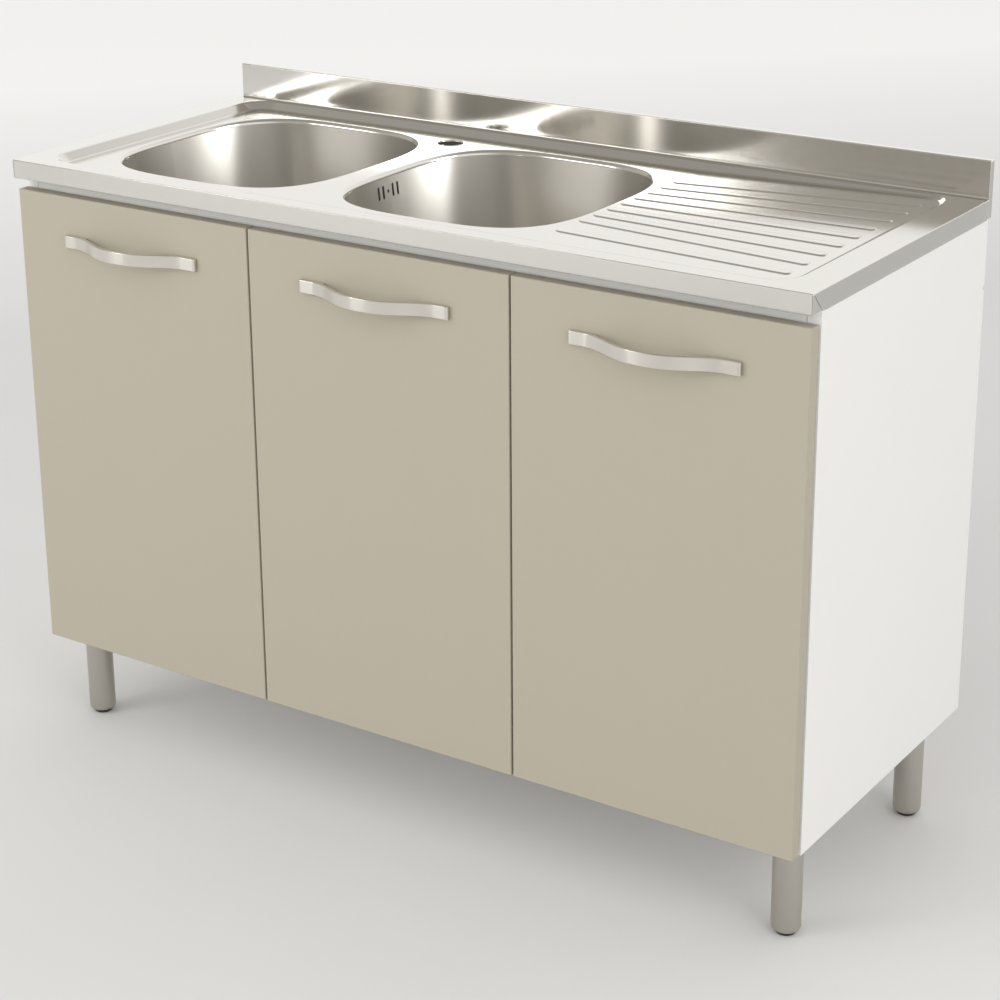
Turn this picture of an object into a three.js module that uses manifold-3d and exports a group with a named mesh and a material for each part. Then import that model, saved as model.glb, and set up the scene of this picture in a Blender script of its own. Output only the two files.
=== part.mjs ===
// A free-standing kitchen sink unit: a pressed steel top with two bowls and a ribbed drainer,
// on a three-door board carcass that stands on four adjustable metal legs.
// Millimetres, +Z up, +X to the right seen from the front, the front faces -Y.
import * as THREE from 'three';
import { mergeVertices } from 'three/addons/utils/BufferGeometryUtils.js';
import Module from 'manifold-3d';

const wasm = await Module();
wasm.setup();

// ---------------------------------------------------------------- driving dimensions

// Sink top. Depths are measured back from the front edge of the deck.
const DECK_WIDTH = 1200;
const DECK_DEPTH = 500;
const DECK_HEIGHT = 840;
const SHEET = 1;
const APRON_HEIGHT = 25;
const APRON_HEM = 8;
const CORNER_TAB = 24;
const CORNER_SEAM = 0.8;
const UPSTAND_HEIGHT = 50;
const UPSTAND_THICKNESS = 10;

// Sunk working area: level round the bowls, rising to the right under the drainer.
const SUNK_LEFT = 32;
const SUNK_RIGHT = 44;
const SUNK_FRONT = 28;
const SUNK_BACK = 16;
const SUNK_CORNER = 40;
const SUNK_CORNER_STEPS = 6;
const SUNK_SLOPE = 12;
const SUNK_DEPTH = 10;
const SUNK_DEPTH_AT_END = 4;

// Bowls
const BOWL_WIDTH = 348;
const BOWL_DEPTH = 155;
const BOWL_FRONT = 68;
const BOWL_BACK = 50;
const BOWL_PITCH = 381;
const BOWL_SIDE_MARGIN = 32;
const BOWL_SQUARENESS = 3.4;
const BOWL_FLANGE = 10;
const BOWL_RIM_RADIUS = 6;
const BOWL_DRAFT = 10;
const BOWL_FLOOR_RADIUS = 48;
const BOWL_FLOOR_FALL = 4;

// Drainer ribs: they run from the bowl to the right and fan out a little.
const RIB_COUNT = 9;
const RIB_WIDTH = 15;
const RIB_HEIGHT = 2;
const RIB_START_GAP = 12;
const RIB_END_GAP = 28;
const RIB_REAR_MARGIN = 49;
const RIB_PITCH_AT_BOWL = 33.3;
const RIB_PITCH_AT_END = 45;
const RIB_FAN_ABOUT = 3;
const FRONT_RIB_Y_AT_BOWL = 113;

// Openings in the steel
const TAP_HOLE_RADIUS = 17.5;
const TAP_HOLE_FROM_BACK = 70;
const TAP_HOLE_OFF_MIDDLE = -6;
const OVERFLOW_PITCH = 10.7;
const OVERFLOW_SLOT_WIDTH = 4.4;
const OVERFLOW_SLOT_HEIGHT = 18;
const OVERFLOW_HOLE_RADIUS = 2.4;
const OVERFLOW_BELOW_RIM = 14;
const OVERFLOW_FROM_MIDDLE = -20;

// Basket wastes
const WASTE_HOLE_RADIUS = 45;
const WASTE_SEAT_RADIUS = 59;
const WASTE_SEAT_DEPTH = 3;
const WASTE_CUP_DEPTH = 34;
const WASTE_WALL = 1.8;
const WASTE_FLANGE = 1.6;
const WASTE_LEDGE = 2.4;
const WASTE_LEDGE_DEPTH = 3;
const WASTE_TAIL_RADIUS = 20;
const WASTE_TAIL_LENGTH = 46;
const WASTE_NUT_HEIGHT = 12;
const WASTE_NUT_WIDTH = 11;
const WASTE_NUT_LUGS = 6;
const NUT_LUG_REACH = 4;
const NUT_LUG_BITE = 3;
const NUT_CHAMFER = 2;
const BASKET_DEPTH = 24;
const BASKET_WALL = 1.2;
const BASKET_CLEARANCE = 0.6;
const BASKET_HOLES = 8;
const BASKET_HOLE_RADIUS = 2.5;
const BASKET_HOLE_SHIFT = 4;
const BASKET_FOOT_IN = 3;
const BASKET_FOOT_UP = 2;
const BASKET_KNOB_RADIUS = 8;
const KNOB_HEIGHT = 6;
const KNOB_SLOPE = 2;
const KNOB_EDGE = 1.5;

// Carcass boards
const BOARD = 18;
const CARCASS_MARGIN = 1.5;
const DIVIDER_PAST_BOWL = 7;
const CARCASS_FRONT = 26;
const CARCASS_BACK_MARGIN = 6;
const CARCASS_BOTTOM = 135;
const FRONT_RAIL_HEIGHT = 72;
const BACK_RAIL_HEIGHT = 100;
const LOWER_RAIL_HEIGHT = 80;
const WALL_NOTCH_BELOW_DECK = 112;
const WALL_NOTCH_HEIGHT = 5;
const WALL_NOTCH_DEPTH = 4;
const SHELF_BOARD = 16;
const SHELF_HEIGHT = 440;
const SHELF_SETBACK = 40;
const SHELF_PLAY = 1;
const PIN_RADIUS = 2.5;
const PIN_LENGTH = 18;
const PIN_DEPTH = 10;
const PIN_ROW_INSET = 37;
const PIN_HOLES = 3;
const PIN_HOLE_PITCH = 32;

// Doors
const DOOR_THICKNESS = 18;
const DOOR_SETBACK = 5;
const DOOR_GAP = 3;
const DOOR_TOP_BELOW_DECK = 41;
const DOOR_ABOVE_CARCASS_BOTTOM = 1;
const DOOR_EDGE = 0.8;

// Bowed strap handles
const HANDLE_LENGTH = 228;
const HANDLE_PITCH = 192;
const HANDLE_HEIGHT = 17;
const HANDLE_BAR = 5;
const HANDLE_REACH = 34;
const HANDLE_PAD_REACH = 6.5;
const HANDLE_FOOT = 37;
const HANDLE_EDGE = 0.7;
const HANDLE_BOW_POWER = 1.25;
const HANDLE_TIP = 2;
const HANDLE_TIP_DROP = 1;
const HANDLE_FOOT_SLANT = 3;
const HANDLE_STEPS = 18;
const HANDLE_BELOW_DOOR_TOP = 52;
const SCREW_RADIUS = 2;
const SCREW_HEAD_RADIUS = 4;
const SCREW_HEAD = 2;
const SCREW_BITE = 4.5;

// Concealed hinges
const CUP_RADIUS = 17.5;
const CUP_DEPTH = 11;
const CUP_WALL = 1.5;
const CUP_FROM_EDGE = 22.5;
const CUP_PLATE = 1.2;
const CUP_PLATE_HEIGHT = 62;
const CUP_PLATE_INSET = 1;
const CUP_PLATE_CORNER = 8;
const HINGE_FROM_DOOR_END = 90;
const HINGE_PLATE_HEIGHT = 44;
const HINGE_PLATE_LENGTH = 40;
const HINGE_PLATE_THICKNESS = 3;
const HINGE_PLATE_WING = 16;
const HINGE_PLATE_CORNER = 5;
const HINGE_PLATE_SETBACK = 17;
const HINGE_ARM_HEIGHT = 13;
const HINGE_ARM_DEPTH = 6;
const HINGE_NOSE_OFFSET = 29.2;
const HINGE_NOSE_WIDTH = 5;

// Legs
const LEG_RADIUS = 19;
const LEG_WALL = 1.5;
const LEG_SHOULDER = 7;
const LEG_INSET_SIDE = 37;
const LEG_INSET_FRONT = 65;
const LEG_INSET_BACK = 79;
const LEG_PLATE = 58;
const LEG_PLATE_CORNER = 8;
const LEG_PLATE_THICKNESS = 3;
const LEG_SPIGOT = 24;
const FOOT_RADIUS = 13;
const FOOT_HEIGHT = 4;
const FOOT_CHAMFER = 1;
const FOOT_STEM_RADIUS = 5;
const FOOT_STEM_LENGTH = 45;

// Clearance between pieces that touch
const FIT = 0.3;

// ---------------------------------------------------------------- values that follow

const DECK_UNDERSIDE = DECK_HEIGHT - SHEET;
const HALF_DECK = DECK_WIDTH / 2;
const UPSTAND_FACE = DECK_DEPTH - UPSTAND_THICKNESS;
const SUNK_X0 = -HALF_DECK + SUNK_LEFT;
const SUNK_X1 = HALF_DECK - SUNK_RIGHT;
const SUNK_Y0 = SUNK_FRONT;
const SUNK_Y1 = DECK_DEPTH - SUNK_BACK;
const LEFT_BOWL_X = SUNK_X0 + BOWL_SIDE_MARGIN + BOWL_WIDTH / 2;
const RIGHT_BOWL_X = LEFT_BOWL_X + BOWL_PITCH;
const BOWL_LENGTH = DECK_DEPTH - BOWL_FRONT - BOWL_BACK;
const BOWL_Y = BOWL_FRONT + BOWL_LENGTH / 2;
const BOWL_RIM_Z = DECK_HEIGHT - SUNK_DEPTH - SHEET - FIT;
const BOWL_EDGE_X = RIGHT_BOWL_X + BOWL_WIDTH / 2;
const CREASE_X = BOWL_EDGE_X + RIB_START_GAP;
const SLOPE_END_X = SUNK_X1 - SUNK_SLOPE;
const WASTE_SEAT_Z = BOWL_RIM_Z - BOWL_DEPTH - WASTE_SEAT_DEPTH;

const HALF_CARCASS = HALF_DECK - CARCASS_MARGIN;
const CARCASS_BACK = DECK_DEPTH - CARCASS_BACK_MARGIN;
const DIVIDER_X = BOWL_EDGE_X + DIVIDER_PAST_BOWL;
const INNER_X = HALF_CARCASS - BOARD;
const SIDE_TOP = DECK_UNDERSIDE - FIT;
const RAIL_TOP = BOWL_RIM_Z;
const FLOOR_TOP = CARCASS_BOTTOM + BOARD;
const RAIL_BOTTOM = RAIL_TOP - FRONT_RAIL_HEIGHT;

const DOOR_TOP = DECK_HEIGHT - DOOR_TOP_BELOW_DECK;
const DOOR_BOTTOM = CARCASS_BOTTOM + DOOR_ABOVE_CARCASS_BOTTOM;
const DOOR_BACK = DOOR_SETBACK + DOOR_THICKNESS;
const DOOR_EDGE_X = HALF_CARCASS - DOOR_GAP / 2;
// The left and middle doors share the bay under the bowls.
const DOOR_SPLIT_X = (DIVIDER_X - HALF_DECK) / 2;
const HANDLE_Z = DOOR_TOP - HANDLE_BELOW_DOOR_TOP - HANDLE_HEIGHT / 2;
const CUP_BORE_DEPTH = CUP_DEPTH + 2 * FIT;
const HINGE_HEIGHTS = {
  upper: DOOR_TOP - HINGE_FROM_DOOR_END,
  lower: DOOR_BOTTOM + HINGE_FROM_DOOR_END,
};

// The model is centred between the handles' crowns and the back of the upstand.
const FRONT_REACH = HANDLE_REACH - DOOR_SETBACK;
const DECK_FRONT_Y = FRONT_REACH - (DECK_DEPTH + FRONT_REACH) / 2;

// ---------------------------------------------------------------- materials

const finish = (color, roughness, metalness = 0) =>
  new THREE.MeshStandardMaterial({ color, roughness, metalness });

const brushedSteel = finish(0xd2cfc8, 0.32, 1);
const bowlSteel = finish(0xc2bdb3, 0.28, 1);
const satinNickel = finish(0xc9c5bb, 0.3, 1);
const zincPlate = finish(0xb4b4b2, 0.4, 1);
const whiteBoard = finish(0xf0efea, 0.55);
const taupeDoor = finish(0xbdb5a1, 0.5);
const darkPlastic = finish(0x2b2a29, 0.6);
const whitePlastic = finish(0xe6e5e0, 0.5);

// ---------------------------------------------------------------- geometry helpers

const unit = new THREE.Group();
unit.position.y = DECK_FRONT_Y;

function toSolid(geometry) {
  const bare = geometry.clone();
  bare.deleteAttribute('normal');
  bare.deleteAttribute('uv');
  const merged = mergeVertices(bare, 1e-4);
  return new wasm.Manifold(
    new wasm.Mesh({
      numProp: 3,
      vertProperties: new Float32Array(merged.attributes.position.array),
      triVerts: new Uint32Array(merged.index.array),
    }),
  );
}

function toGeometry(solid) {
  const { vertProperties, triVerts } = solid.getMesh();
  const geometry = new THREE.BufferGeometry();
  geometry.setAttribute('position', new THREE.BufferAttribute(vertProperties, 3));
  geometry.setIndex(new THREE.BufferAttribute(triVerts, 1));
  geometry.computeVertexNormals();
  return geometry;
}

const join = (first, ...rest) => rest.reduce((whole, part) => whole.add(toSolid(part)), toSolid(first));
const cut = (solid, ...tools) => tools.reduce((left, tool) => left.subtract(toSolid(tool)), solid);

function piece(name, shape, material) {
  const geometry = shape.isBufferGeometry ? shape : toGeometry(shape);
  const mesh = new THREE.Mesh(geometry, material);
  mesh.name = name;
  unit.add(mesh);
  return mesh;
}

// A box between two corners.
function box(x0, x1, y0, y1, z0, z1) {
  const geometry = new THREE.BoxGeometry(x1 - x0, y1 - y0, z1 - z0);
  return geometry.translate((x0 + x1) / 2, (y0 + y1) / 2, (z0 + z1) / 2);
}

// Extrudes an outline along one axis between two places.
// The outline's coordinates are (x, y) along z, (x, z) along y and (y, z) along x.
function extrude(outline, axis, from, to, edge = 0) {
  const geometry = new THREE.ExtrudeGeometry(new THREE.Shape(outline), {
    depth: to - from - 2 * edge,
    bevelEnabled: edge > 0,
    bevelThickness: edge,
    bevelSize: edge,
    bevelOffset: -edge,
    bevelSegments: 1,
  });
  geometry.translate(0, 0, edge);
  if (axis === 'z') return geometry.translate(0, 0, from);
  if (axis === 'y') return geometry.rotateX(Math.PI / 2).translate(0, to, 0);
  const turn = new THREE.Matrix4().makeBasis(
    new THREE.Vector3(0, 1, 0),
    new THREE.Vector3(0, 0, 1),
    new THREE.Vector3(1, 0, 0),
  );
  return geometry.applyMatrix4(turn).translate(from, 0, 0);
}

const point = (x, y) => new THREE.Vector2(x, y);

// Points along a quarter turn or more, from one angle to another.
function arc(x, y, radius, from, to, steps) {
  const points = [];
  for (let i = 0; i <= steps; i += 1) {
    const turn = THREE.MathUtils.lerp(from, to, i / steps);
    points.push(point(x + radius * Math.cos(turn), y + radius * Math.sin(turn)));
  }
  return points;
}

const QUARTER = Math.PI / 2;

function rectangle(x0, x1, y0, y1) {
  return [point(x0, y0), point(x1, y0), point(x1, y1), point(x0, y1)];
}

function roundedRectangle(x0, x1, y0, y1, radius, steps = 3) {
  return [
    ...arc(x1 - radius, y0 + radius, radius, -QUARTER, 0, steps),
    ...arc(x1 - radius, y1 - radius, radius, 0, QUARTER, steps),
    ...arc(x0 + radius, y1 - radius, radius, QUARTER, 2 * QUARTER, steps),
    ...arc(x0 + radius, y0 + radius, radius, 2 * QUARTER, 3 * QUARTER, steps),
  ];
}

// A round-ended bar's outline, lying along x.
function stadium(x0, x1, y, radius, steps = 4) {
  return [
    ...arc(x1 - radius, y, radius, -QUARTER, QUARTER, steps),
    ...arc(x0 + radius, y, radius, QUARTER, 3 * QUARTER, steps),
  ];
}

// A cylinder along an axis, from one place to another.
function rod(axis, x, y, z, radius, length, sides = 16) {
  const geometry = new THREE.CylinderGeometry(radius, radius, length, sides);
  if (axis === 'x') geometry.rotateZ(-Math.PI / 2).translate(length / 2, 0, 0);
  if (axis === 'y') geometry.translate(0, length / 2, 0);
  if (axis === 'z') geometry.rotateX(Math.PI / 2).translate(0, 0, length / 2);
  return geometry.translate(x, y, z);
}

// Turns a profile of [radius, height] pairs round a vertical axis. The profile closes on itself.
function turned(profile, x, y, sides = 18) {
  const points = profile.map(([radius, height]) => point(radius, height));
  points.push(points[0].clone());
  const geometry = new THREE.LatheGeometry(points, sides);
  return geometry.rotateX(Math.PI / 2).translate(x, y, 0);
}

// Turns a profile that starts and ends on the axis.
function turnedSolid(profile, x, y, sides = 14) {
  const points = profile.map(([radius, height]) => point(radius, height));
  const geometry = new THREE.LatheGeometry(points, sides);
  return geometry.rotateX(Math.PI / 2).translate(x, y, 0);
}

// A closed skin through rings of equal length, whose last ring meets the first.
function loopedSkin(rings) {
  const count = rings[0].length;
  const positions = rings.flat().flatMap((p) => [p.x, p.y, p.z]);
  const triangles = [];
  for (let i = 0; i < rings.length; i += 1) {
    const here = i * count;
    const next = ((i + 1) % rings.length) * count;
    for (let j = 0; j < count; j += 1) {
      const k = (j + 1) % count;
      triangles.push(here + j, here + k, next + j);
      triangles.push(here + k, next + k, next + j);
    }
  }
  const geometry = new THREE.BufferGeometry();
  geometry.setAttribute('position', new THREE.Float32BufferAttribute(positions, 3));
  geometry.setIndex(triangles);
  geometry.computeVertexNormals();
  return geometry;
}

// ---------------------------------------------------------------- sink top

// Superellipse outline of a bowl, drawn in by an inset.
const BOWL_SIDES = 32;

function bowlRing(centreX, inset, z, squareness = BOWL_SQUARENESS) {
  const a = BOWL_WIDTH / 2 - inset;
  const b = BOWL_LENGTH / 2 - inset;
  const ring = [];
  for (let i = 0; i < BOWL_SIDES; i += 1) {
    const turn = (2 * Math.PI * i) / BOWL_SIDES;
    const c = Math.cos(turn);
    const s = Math.sin(turn);
    const x = a * Math.sign(c) * Math.abs(c) ** (2 / squareness);
    const y = b * Math.sign(s) * Math.abs(s) ** (2 / squareness);
    ring.push(new THREE.Vector3(centreX + x, BOWL_Y + y, z));
  }
  return ring;
}

// How deep the sunk floor lies below the deck at a place along the unit.
function sunkDepth(x) {
  if (x <= CREASE_X) return SUNK_DEPTH;
  const along = (x - CREASE_X) / (SLOPE_END_X - CREASE_X);
  return THREE.MathUtils.lerp(SUNK_DEPTH, SUNK_DEPTH_AT_END, along);
}

// The space pressed down out of the deck: a tapered block cut off by the floor's side view.
function sunkSpace(drop) {
  const slope = SUNK_SLOPE / SUNK_DEPTH;
  const spread = slope * SHEET;
  const deepest = SUNK_DEPTH + SHEET;
  const rise = deepest + SHEET;
  const inset = slope * rise;
  const top = DECK_HEIGHT - drop;
  const foot = roundedRectangle(
    SUNK_X0 - spread + inset,
    SUNK_X1 + spread - inset,
    SUNK_Y0 - spread + inset,
    SUNK_Y1 + spread - inset,
    SUNK_CORNER + spread - inset,
    SUNK_CORNER_STEPS,
  );
  const tapered = new THREE.ExtrudeGeometry(new THREE.Shape(foot), {
    depth: SHEET,
    bevelThickness: rise,
    bevelSize: inset,
    bevelSegments: 1,
  }).translate(0, 0, top + SHEET);
  const sideView = [
    point(-HALF_DECK, top - SUNK_DEPTH),
    point(CREASE_X, top - SUNK_DEPTH),
    point(SLOPE_END_X, top - SUNK_DEPTH_AT_END),
    point(HALF_DECK, top - SUNK_DEPTH_AT_END),
    point(HALF_DECK, top + SHEET),
    point(-HALF_DECK, top + SHEET),
  ];
  return toSolid(tapered).intersect(toSolid(extrude(sideView, 'y', 0, DECK_DEPTH)));
}

// The ends of a rib's centre line, counted from the rear.
function ribEnds(index) {
  const rearAtEnd = SUNK_Y1 - RIB_REAR_MARGIN;
  const yEnd = rearAtEnd - index * RIB_PITCH_AT_END;
  const rearAtBowl = rearAtEnd - (RIB_PITCH_AT_END - RIB_PITCH_AT_BOWL) * RIB_FAN_ABOUT;
  const isFront = index === RIB_COUNT - 1;
  const yBowl = isFront ? FRONT_RIB_Y_AT_BOWL : rearAtBowl - index * RIB_PITCH_AT_BOWL;
  return [point(CREASE_X, yBowl), point(SUNK_X1 - RIB_END_GAP, yEnd)];
}

// One pressed rib: a round-ended bar with sloping sides that lies on the sloping floor.
function rib(index, drop) {
  const [from, to] = ribEnds(index);
  const length = from.distanceTo(to);
  const bar = extrude(stadium(0, length, 0, RIB_WIDTH / 2), 'z', -2 * RIB_HEIGHT, RIB_HEIGHT, RIB_HEIGHT);
  const z0 = DECK_HEIGHT - drop - sunkDepth(from.x);
  const z1 = DECK_HEIGHT - drop - sunkDepth(to.x);
  bar.rotateY(-Math.atan2(z1 - z0, length));
  bar.rotateZ(Math.atan2(to.y - from.y, to.x - from.x));
  return bar.translate(from.x, from.y, z0);
}

// The pressed deck as a thick block; two of them, one sheet apart, leave the sheet between them.
function pressedBlock(drop, margin) {
  const x1 = HALF_DECK + margin;
  const depth = SUNK_DEPTH + APRON_HEIGHT;
  const top = DECK_HEIGHT - drop;
  let block = toSolid(box(-x1, x1, -margin, UPSTAND_FACE + SHEET + margin, top - depth, top));
  block = block.subtract(sunkSpace(drop));
  for (let i = 0; i < RIB_COUNT; i += 1) block = block.add(toSolid(rib(i, drop)));
  return block;
}

// A side apron with its slanted front end, and the corner tab of the front apron beside it.
function sideApron(side) {
  const bottom = DECK_HEIGHT - APRON_HEIGHT;
  const apron = [
    point(CORNER_SEAM, DECK_HEIGHT - SHEET / 2),
    point(CORNER_TAB, bottom),
    point(DECK_DEPTH, bottom),
    point(DECK_DEPTH, DECK_HEIGHT - SHEET / 2),
  ];
  const tab = [
    point(SHEET / 2, DECK_HEIGHT - 2 * CORNER_SEAM),
    point(SHEET / 2, bottom),
    point(CORNER_TAB - 2 * CORNER_SEAM, bottom),
  ];
  const outer = side * HALF_DECK;
  const inner = side * (HALF_DECK - SHEET);
  const [x0, x1] = side > 0 ? [inner, outer] : [outer, inner];
  return [extrude(apron, 'x', x0, x1), extrude(tab, 'x', x0, x1)];
}

// The folded upstand: a front face, a top fold, a back face down to the apron's edge, closed ends.
function upstand() {
  const top = DECK_HEIGHT + UPSTAND_HEIGHT;
  const back = DECK_DEPTH;
  const x = HALF_DECK;
  const front = box(-x, x, UPSTAND_FACE, UPSTAND_FACE + SHEET, DECK_UNDERSIDE, top);
  const fold = box(-x, x, UPSTAND_FACE, back, top - SHEET, top);
  const rear = box(-x, x, back - SHEET, back, DECK_HEIGHT - APRON_HEIGHT, top);
  const ends = [-1, 1].map((side) => {
    const [x0, x1] = side > 0 ? [x - SHEET, x] : [-x, -x + SHEET];
    return box(x0, x1, UPSTAND_FACE, back, DECK_HEIGHT - APRON_HEIGHT, top);
  });
  return [front, fold, rear, ...ends];
}

function makeDeck() {
  const skin = pressedBlock(0, 0).subtract(pressedBlock(SHEET, SHEET));
  const bottom = DECK_HEIGHT - APRON_HEIGHT;
  const parts = [
    box(-HALF_DECK, HALF_DECK, 0, SHEET, bottom, DECK_HEIGHT - SHEET / 2),
    box(-HALF_DECK, HALF_DECK, 0, APRON_HEM, bottom, bottom + SHEET),
    ...sideApron(-1),
    ...sideApron(1),
    ...upstand(),
  ];
  const deck = parts.reduce((whole, part) => whole.add(toSolid(part)), skin);
  const tapX = (LEFT_BOWL_X + RIGHT_BOWL_X) / 2 + TAP_HOLE_OFF_MIDDLE;
  const low = DECK_HEIGHT - 2 * SUNK_DEPTH;
  const tapY = DECK_DEPTH - TAP_HOLE_FROM_BACK;
  const tapHole = rod('z', tapX, tapY, low, TAP_HOLE_RADIUS, 2 * SUNK_DEPTH, 24);
  const mouths = [LEFT_BOWL_X, RIGHT_BOWL_X].map((x) => {
    const outline = bowlRing(x, 0, 0).map((p) => point(p.x, p.y));
    return extrude(outline, 'z', low, DECK_HEIGHT);
  });
  return cut(deck, tapHole, ...mouths);
}

// The bowl wall's section as [inset from the mouth, depth below the rim] pairs, from the flange's
// edge over the rim and down to the waste seat.
function bowlSection() {
  const section = [[-BOWL_FLANGE, 0]];
  const rimSteps = 2;
  for (let i = 0; i <= rimSteps; i += 1) {
    const turn = (QUARTER * i) / rimSteps;
    section.push([BOWL_RIM_RADIUS * Math.sin(turn), BOWL_RIM_RADIUS * (1 - Math.cos(turn))]);
  }
  const floorDepth = BOWL_DEPTH - BOWL_FLOOR_FALL;
  const wallInset = BOWL_RIM_RADIUS + BOWL_DRAFT;
  const floorSteps = 3;
  for (let i = 0; i <= floorSteps; i += 1) {
    const turn = (QUARTER * i) / floorSteps;
    const inset = wallInset + BOWL_FLOOR_RADIUS * (1 - Math.cos(turn));
    section.push([inset, floorDepth - BOWL_FLOOR_RADIUS * (1 - Math.sin(turn))]);
  }
  return section;
}

// Moves a section sideways by the sheet's thickness, away from the inside of the bowl.
function outerSection(section) {
  return section.map((here, i) => {
    const before = section[Math.max(i - 1, 0)];
    const after = section[Math.min(i + 1, section.length - 1)];
    const along = point(after[0] - before[0], after[1] - before[1]).normalize();
    return [here[0] - along.y * SHEET, here[1] + along.x * SHEET];
  });
}

// A round ring about the waste, with as many points as the bowl's outline.
function wasteRing(centreX, radius, z) {
  const ring = [];
  for (let i = 0; i < BOWL_SIDES; i += 1) {
    const turn = (2 * Math.PI * i) / BOWL_SIDES;
    ring.push(new THREE.Vector3(centreX + radius * Math.cos(turn), BOWL_Y + radius * Math.sin(turn), z));
  }
  return ring;
}

function makeBowl(centreX) {
  const inner = bowlSection();
  const outer = outerSection(inner);
  const seatTop = BOWL_RIM_Z - BOWL_DEPTH;
  const step = WASTE_SEAT_DEPTH;
  const insideRings = [
    ...inner.map(([inset, depth]) => bowlRing(centreX, inset, BOWL_RIM_Z - depth)),
    wasteRing(centreX, WASTE_SEAT_RADIUS, seatTop),
    wasteRing(centreX, WASTE_SEAT_RADIUS - step / 2, WASTE_SEAT_Z),
    wasteRing(centreX, WASTE_HOLE_RADIUS, WASTE_SEAT_Z),
  ];
  const outsideRings = [
    ...outer.map(([inset, depth]) => bowlRing(centreX, inset, BOWL_RIM_Z - depth)),
    wasteRing(centreX, WASTE_SEAT_RADIUS + SHEET, seatTop - SHEET),
    wasteRing(centreX, WASTE_SEAT_RADIUS - step / 2 + SHEET, WASTE_SEAT_Z - SHEET),
    wasteRing(centreX, WASTE_HOLE_RADIUS, WASTE_SEAT_Z - SHEET),
  ];
  return toSolid(loopedSkin([...insideRings, ...outsideRings.reverse()]));
}

// Overflow slots and the small hole between them, through the bowl's left wall.
function overflowCutters(centreX) {
  const reach = BOWL_RIM_RADIUS + BOWL_DRAFT + 2 * BOWL_FLANGE;
  const x0 = centreX - BOWL_WIDTH / 2 - BOWL_FLANGE;
  const middleY = BOWL_Y + OVERFLOW_FROM_MIDDLE;
  const top = BOWL_RIM_Z - OVERFLOW_BELOW_RIM;
  const radius = OVERFLOW_SLOT_WIDTH / 2;
  const places = [-2, -1, 1, 2];
  const slots = places.map((place) => {
    const y = middleY + place * OVERFLOW_PITCH;
    const slot = extrude(stadium(0, OVERFLOW_SLOT_HEIGHT, 0, radius), 'z', 0, reach, 0);
    return slot.rotateY(Math.PI / 2).translate(x0, y, top);
  });
  const holeZ = top - OVERFLOW_SLOT_HEIGHT / 2;
  return [...slots, rod('x', x0, middleY, holeZ, OVERFLOW_HOLE_RADIUS, reach, 8)];
}

// ---------------------------------------------------------------- basket wastes

const STRAINER_TOP = WASTE_SEAT_Z + FIT;
const CUP_OUTER = WASTE_HOLE_RADIUS - FIT;
const CUP_INNER = CUP_OUTER - WASTE_WALL;
const LEDGE_Z = STRAINER_TOP - WASTE_LEDGE_DEPTH;
const LEDGE_RADIUS = CUP_INNER - WASTE_LEDGE;
const NUT_TOP = WASTE_SEAT_Z - SHEET - FIT;
const NUT_BOTTOM = NUT_TOP - WASTE_NUT_HEIGHT;

// A flanged cup with a ledge for the basket and a tail for the trap.
function makeStrainerBody(centreX) {
  const top = STRAINER_TOP;
  const floor = top - WASTE_CUP_DEPTH;
  const tailOuter = WASTE_TAIL_RADIUS + WASTE_WALL;
  const tailEnd = floor - WASTE_TAIL_LENGTH;
  const flange = WASTE_SEAT_RADIUS - WASTE_SEAT_DEPTH;
  return turned(
    [
      [flange, top],
      [flange - WASTE_FLANGE, top + WASTE_FLANGE],
      [CUP_INNER + WASTE_FLANGE, top + WASTE_FLANGE],
      [CUP_INNER, top],
      [CUP_INNER, LEDGE_Z],
      [LEDGE_RADIUS, LEDGE_Z],
      [LEDGE_RADIUS - WASTE_WALL, floor + WASTE_WALL],
      [WASTE_TAIL_RADIUS, floor],
      [WASTE_TAIL_RADIUS, tailEnd],
      [tailOuter, tailEnd],
      [tailOuter, floor - WASTE_WALL],
      [LEDGE_RADIUS, floor],
      [CUP_OUTER, NUT_BOTTOM],
      [CUP_OUTER, top],
    ],
    centreX,
    BOWL_Y,
  );
}

// The clamp nut under the bowl, with grip lugs round it.
function makeWasteNut(centreX) {
  const top = NUT_TOP;
  const bottom = NUT_BOTTOM;
  const bore = WASTE_HOLE_RADIUS + FIT;
  const rim = bore + WASTE_NUT_WIDTH;
  const ring = turned(
    [
      [bore, top],
      [bore, bottom],
      [rim - NUT_CHAMFER, bottom],
      [rim, top - NUT_CHAMFER],
      [rim, top],
    ],
    centreX,
    BOWL_Y,
  );
  const lugs = [];
  for (let i = 0; i < WASTE_NUT_LUGS; i += 1) {
    const lug = box(
      rim - NUT_LUG_BITE,
      rim + NUT_LUG_REACH,
      -NUT_LUG_REACH,
      NUT_LUG_REACH,
      bottom + NUT_CHAMFER,
      top - NUT_CHAMFER / 2,
    );
    lugs.push(lug.rotateZ((2 * Math.PI * i) / WASTE_NUT_LUGS).translate(centreX, BOWL_Y, 0));
  }
  return join(ring, ...lugs);
}

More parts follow.
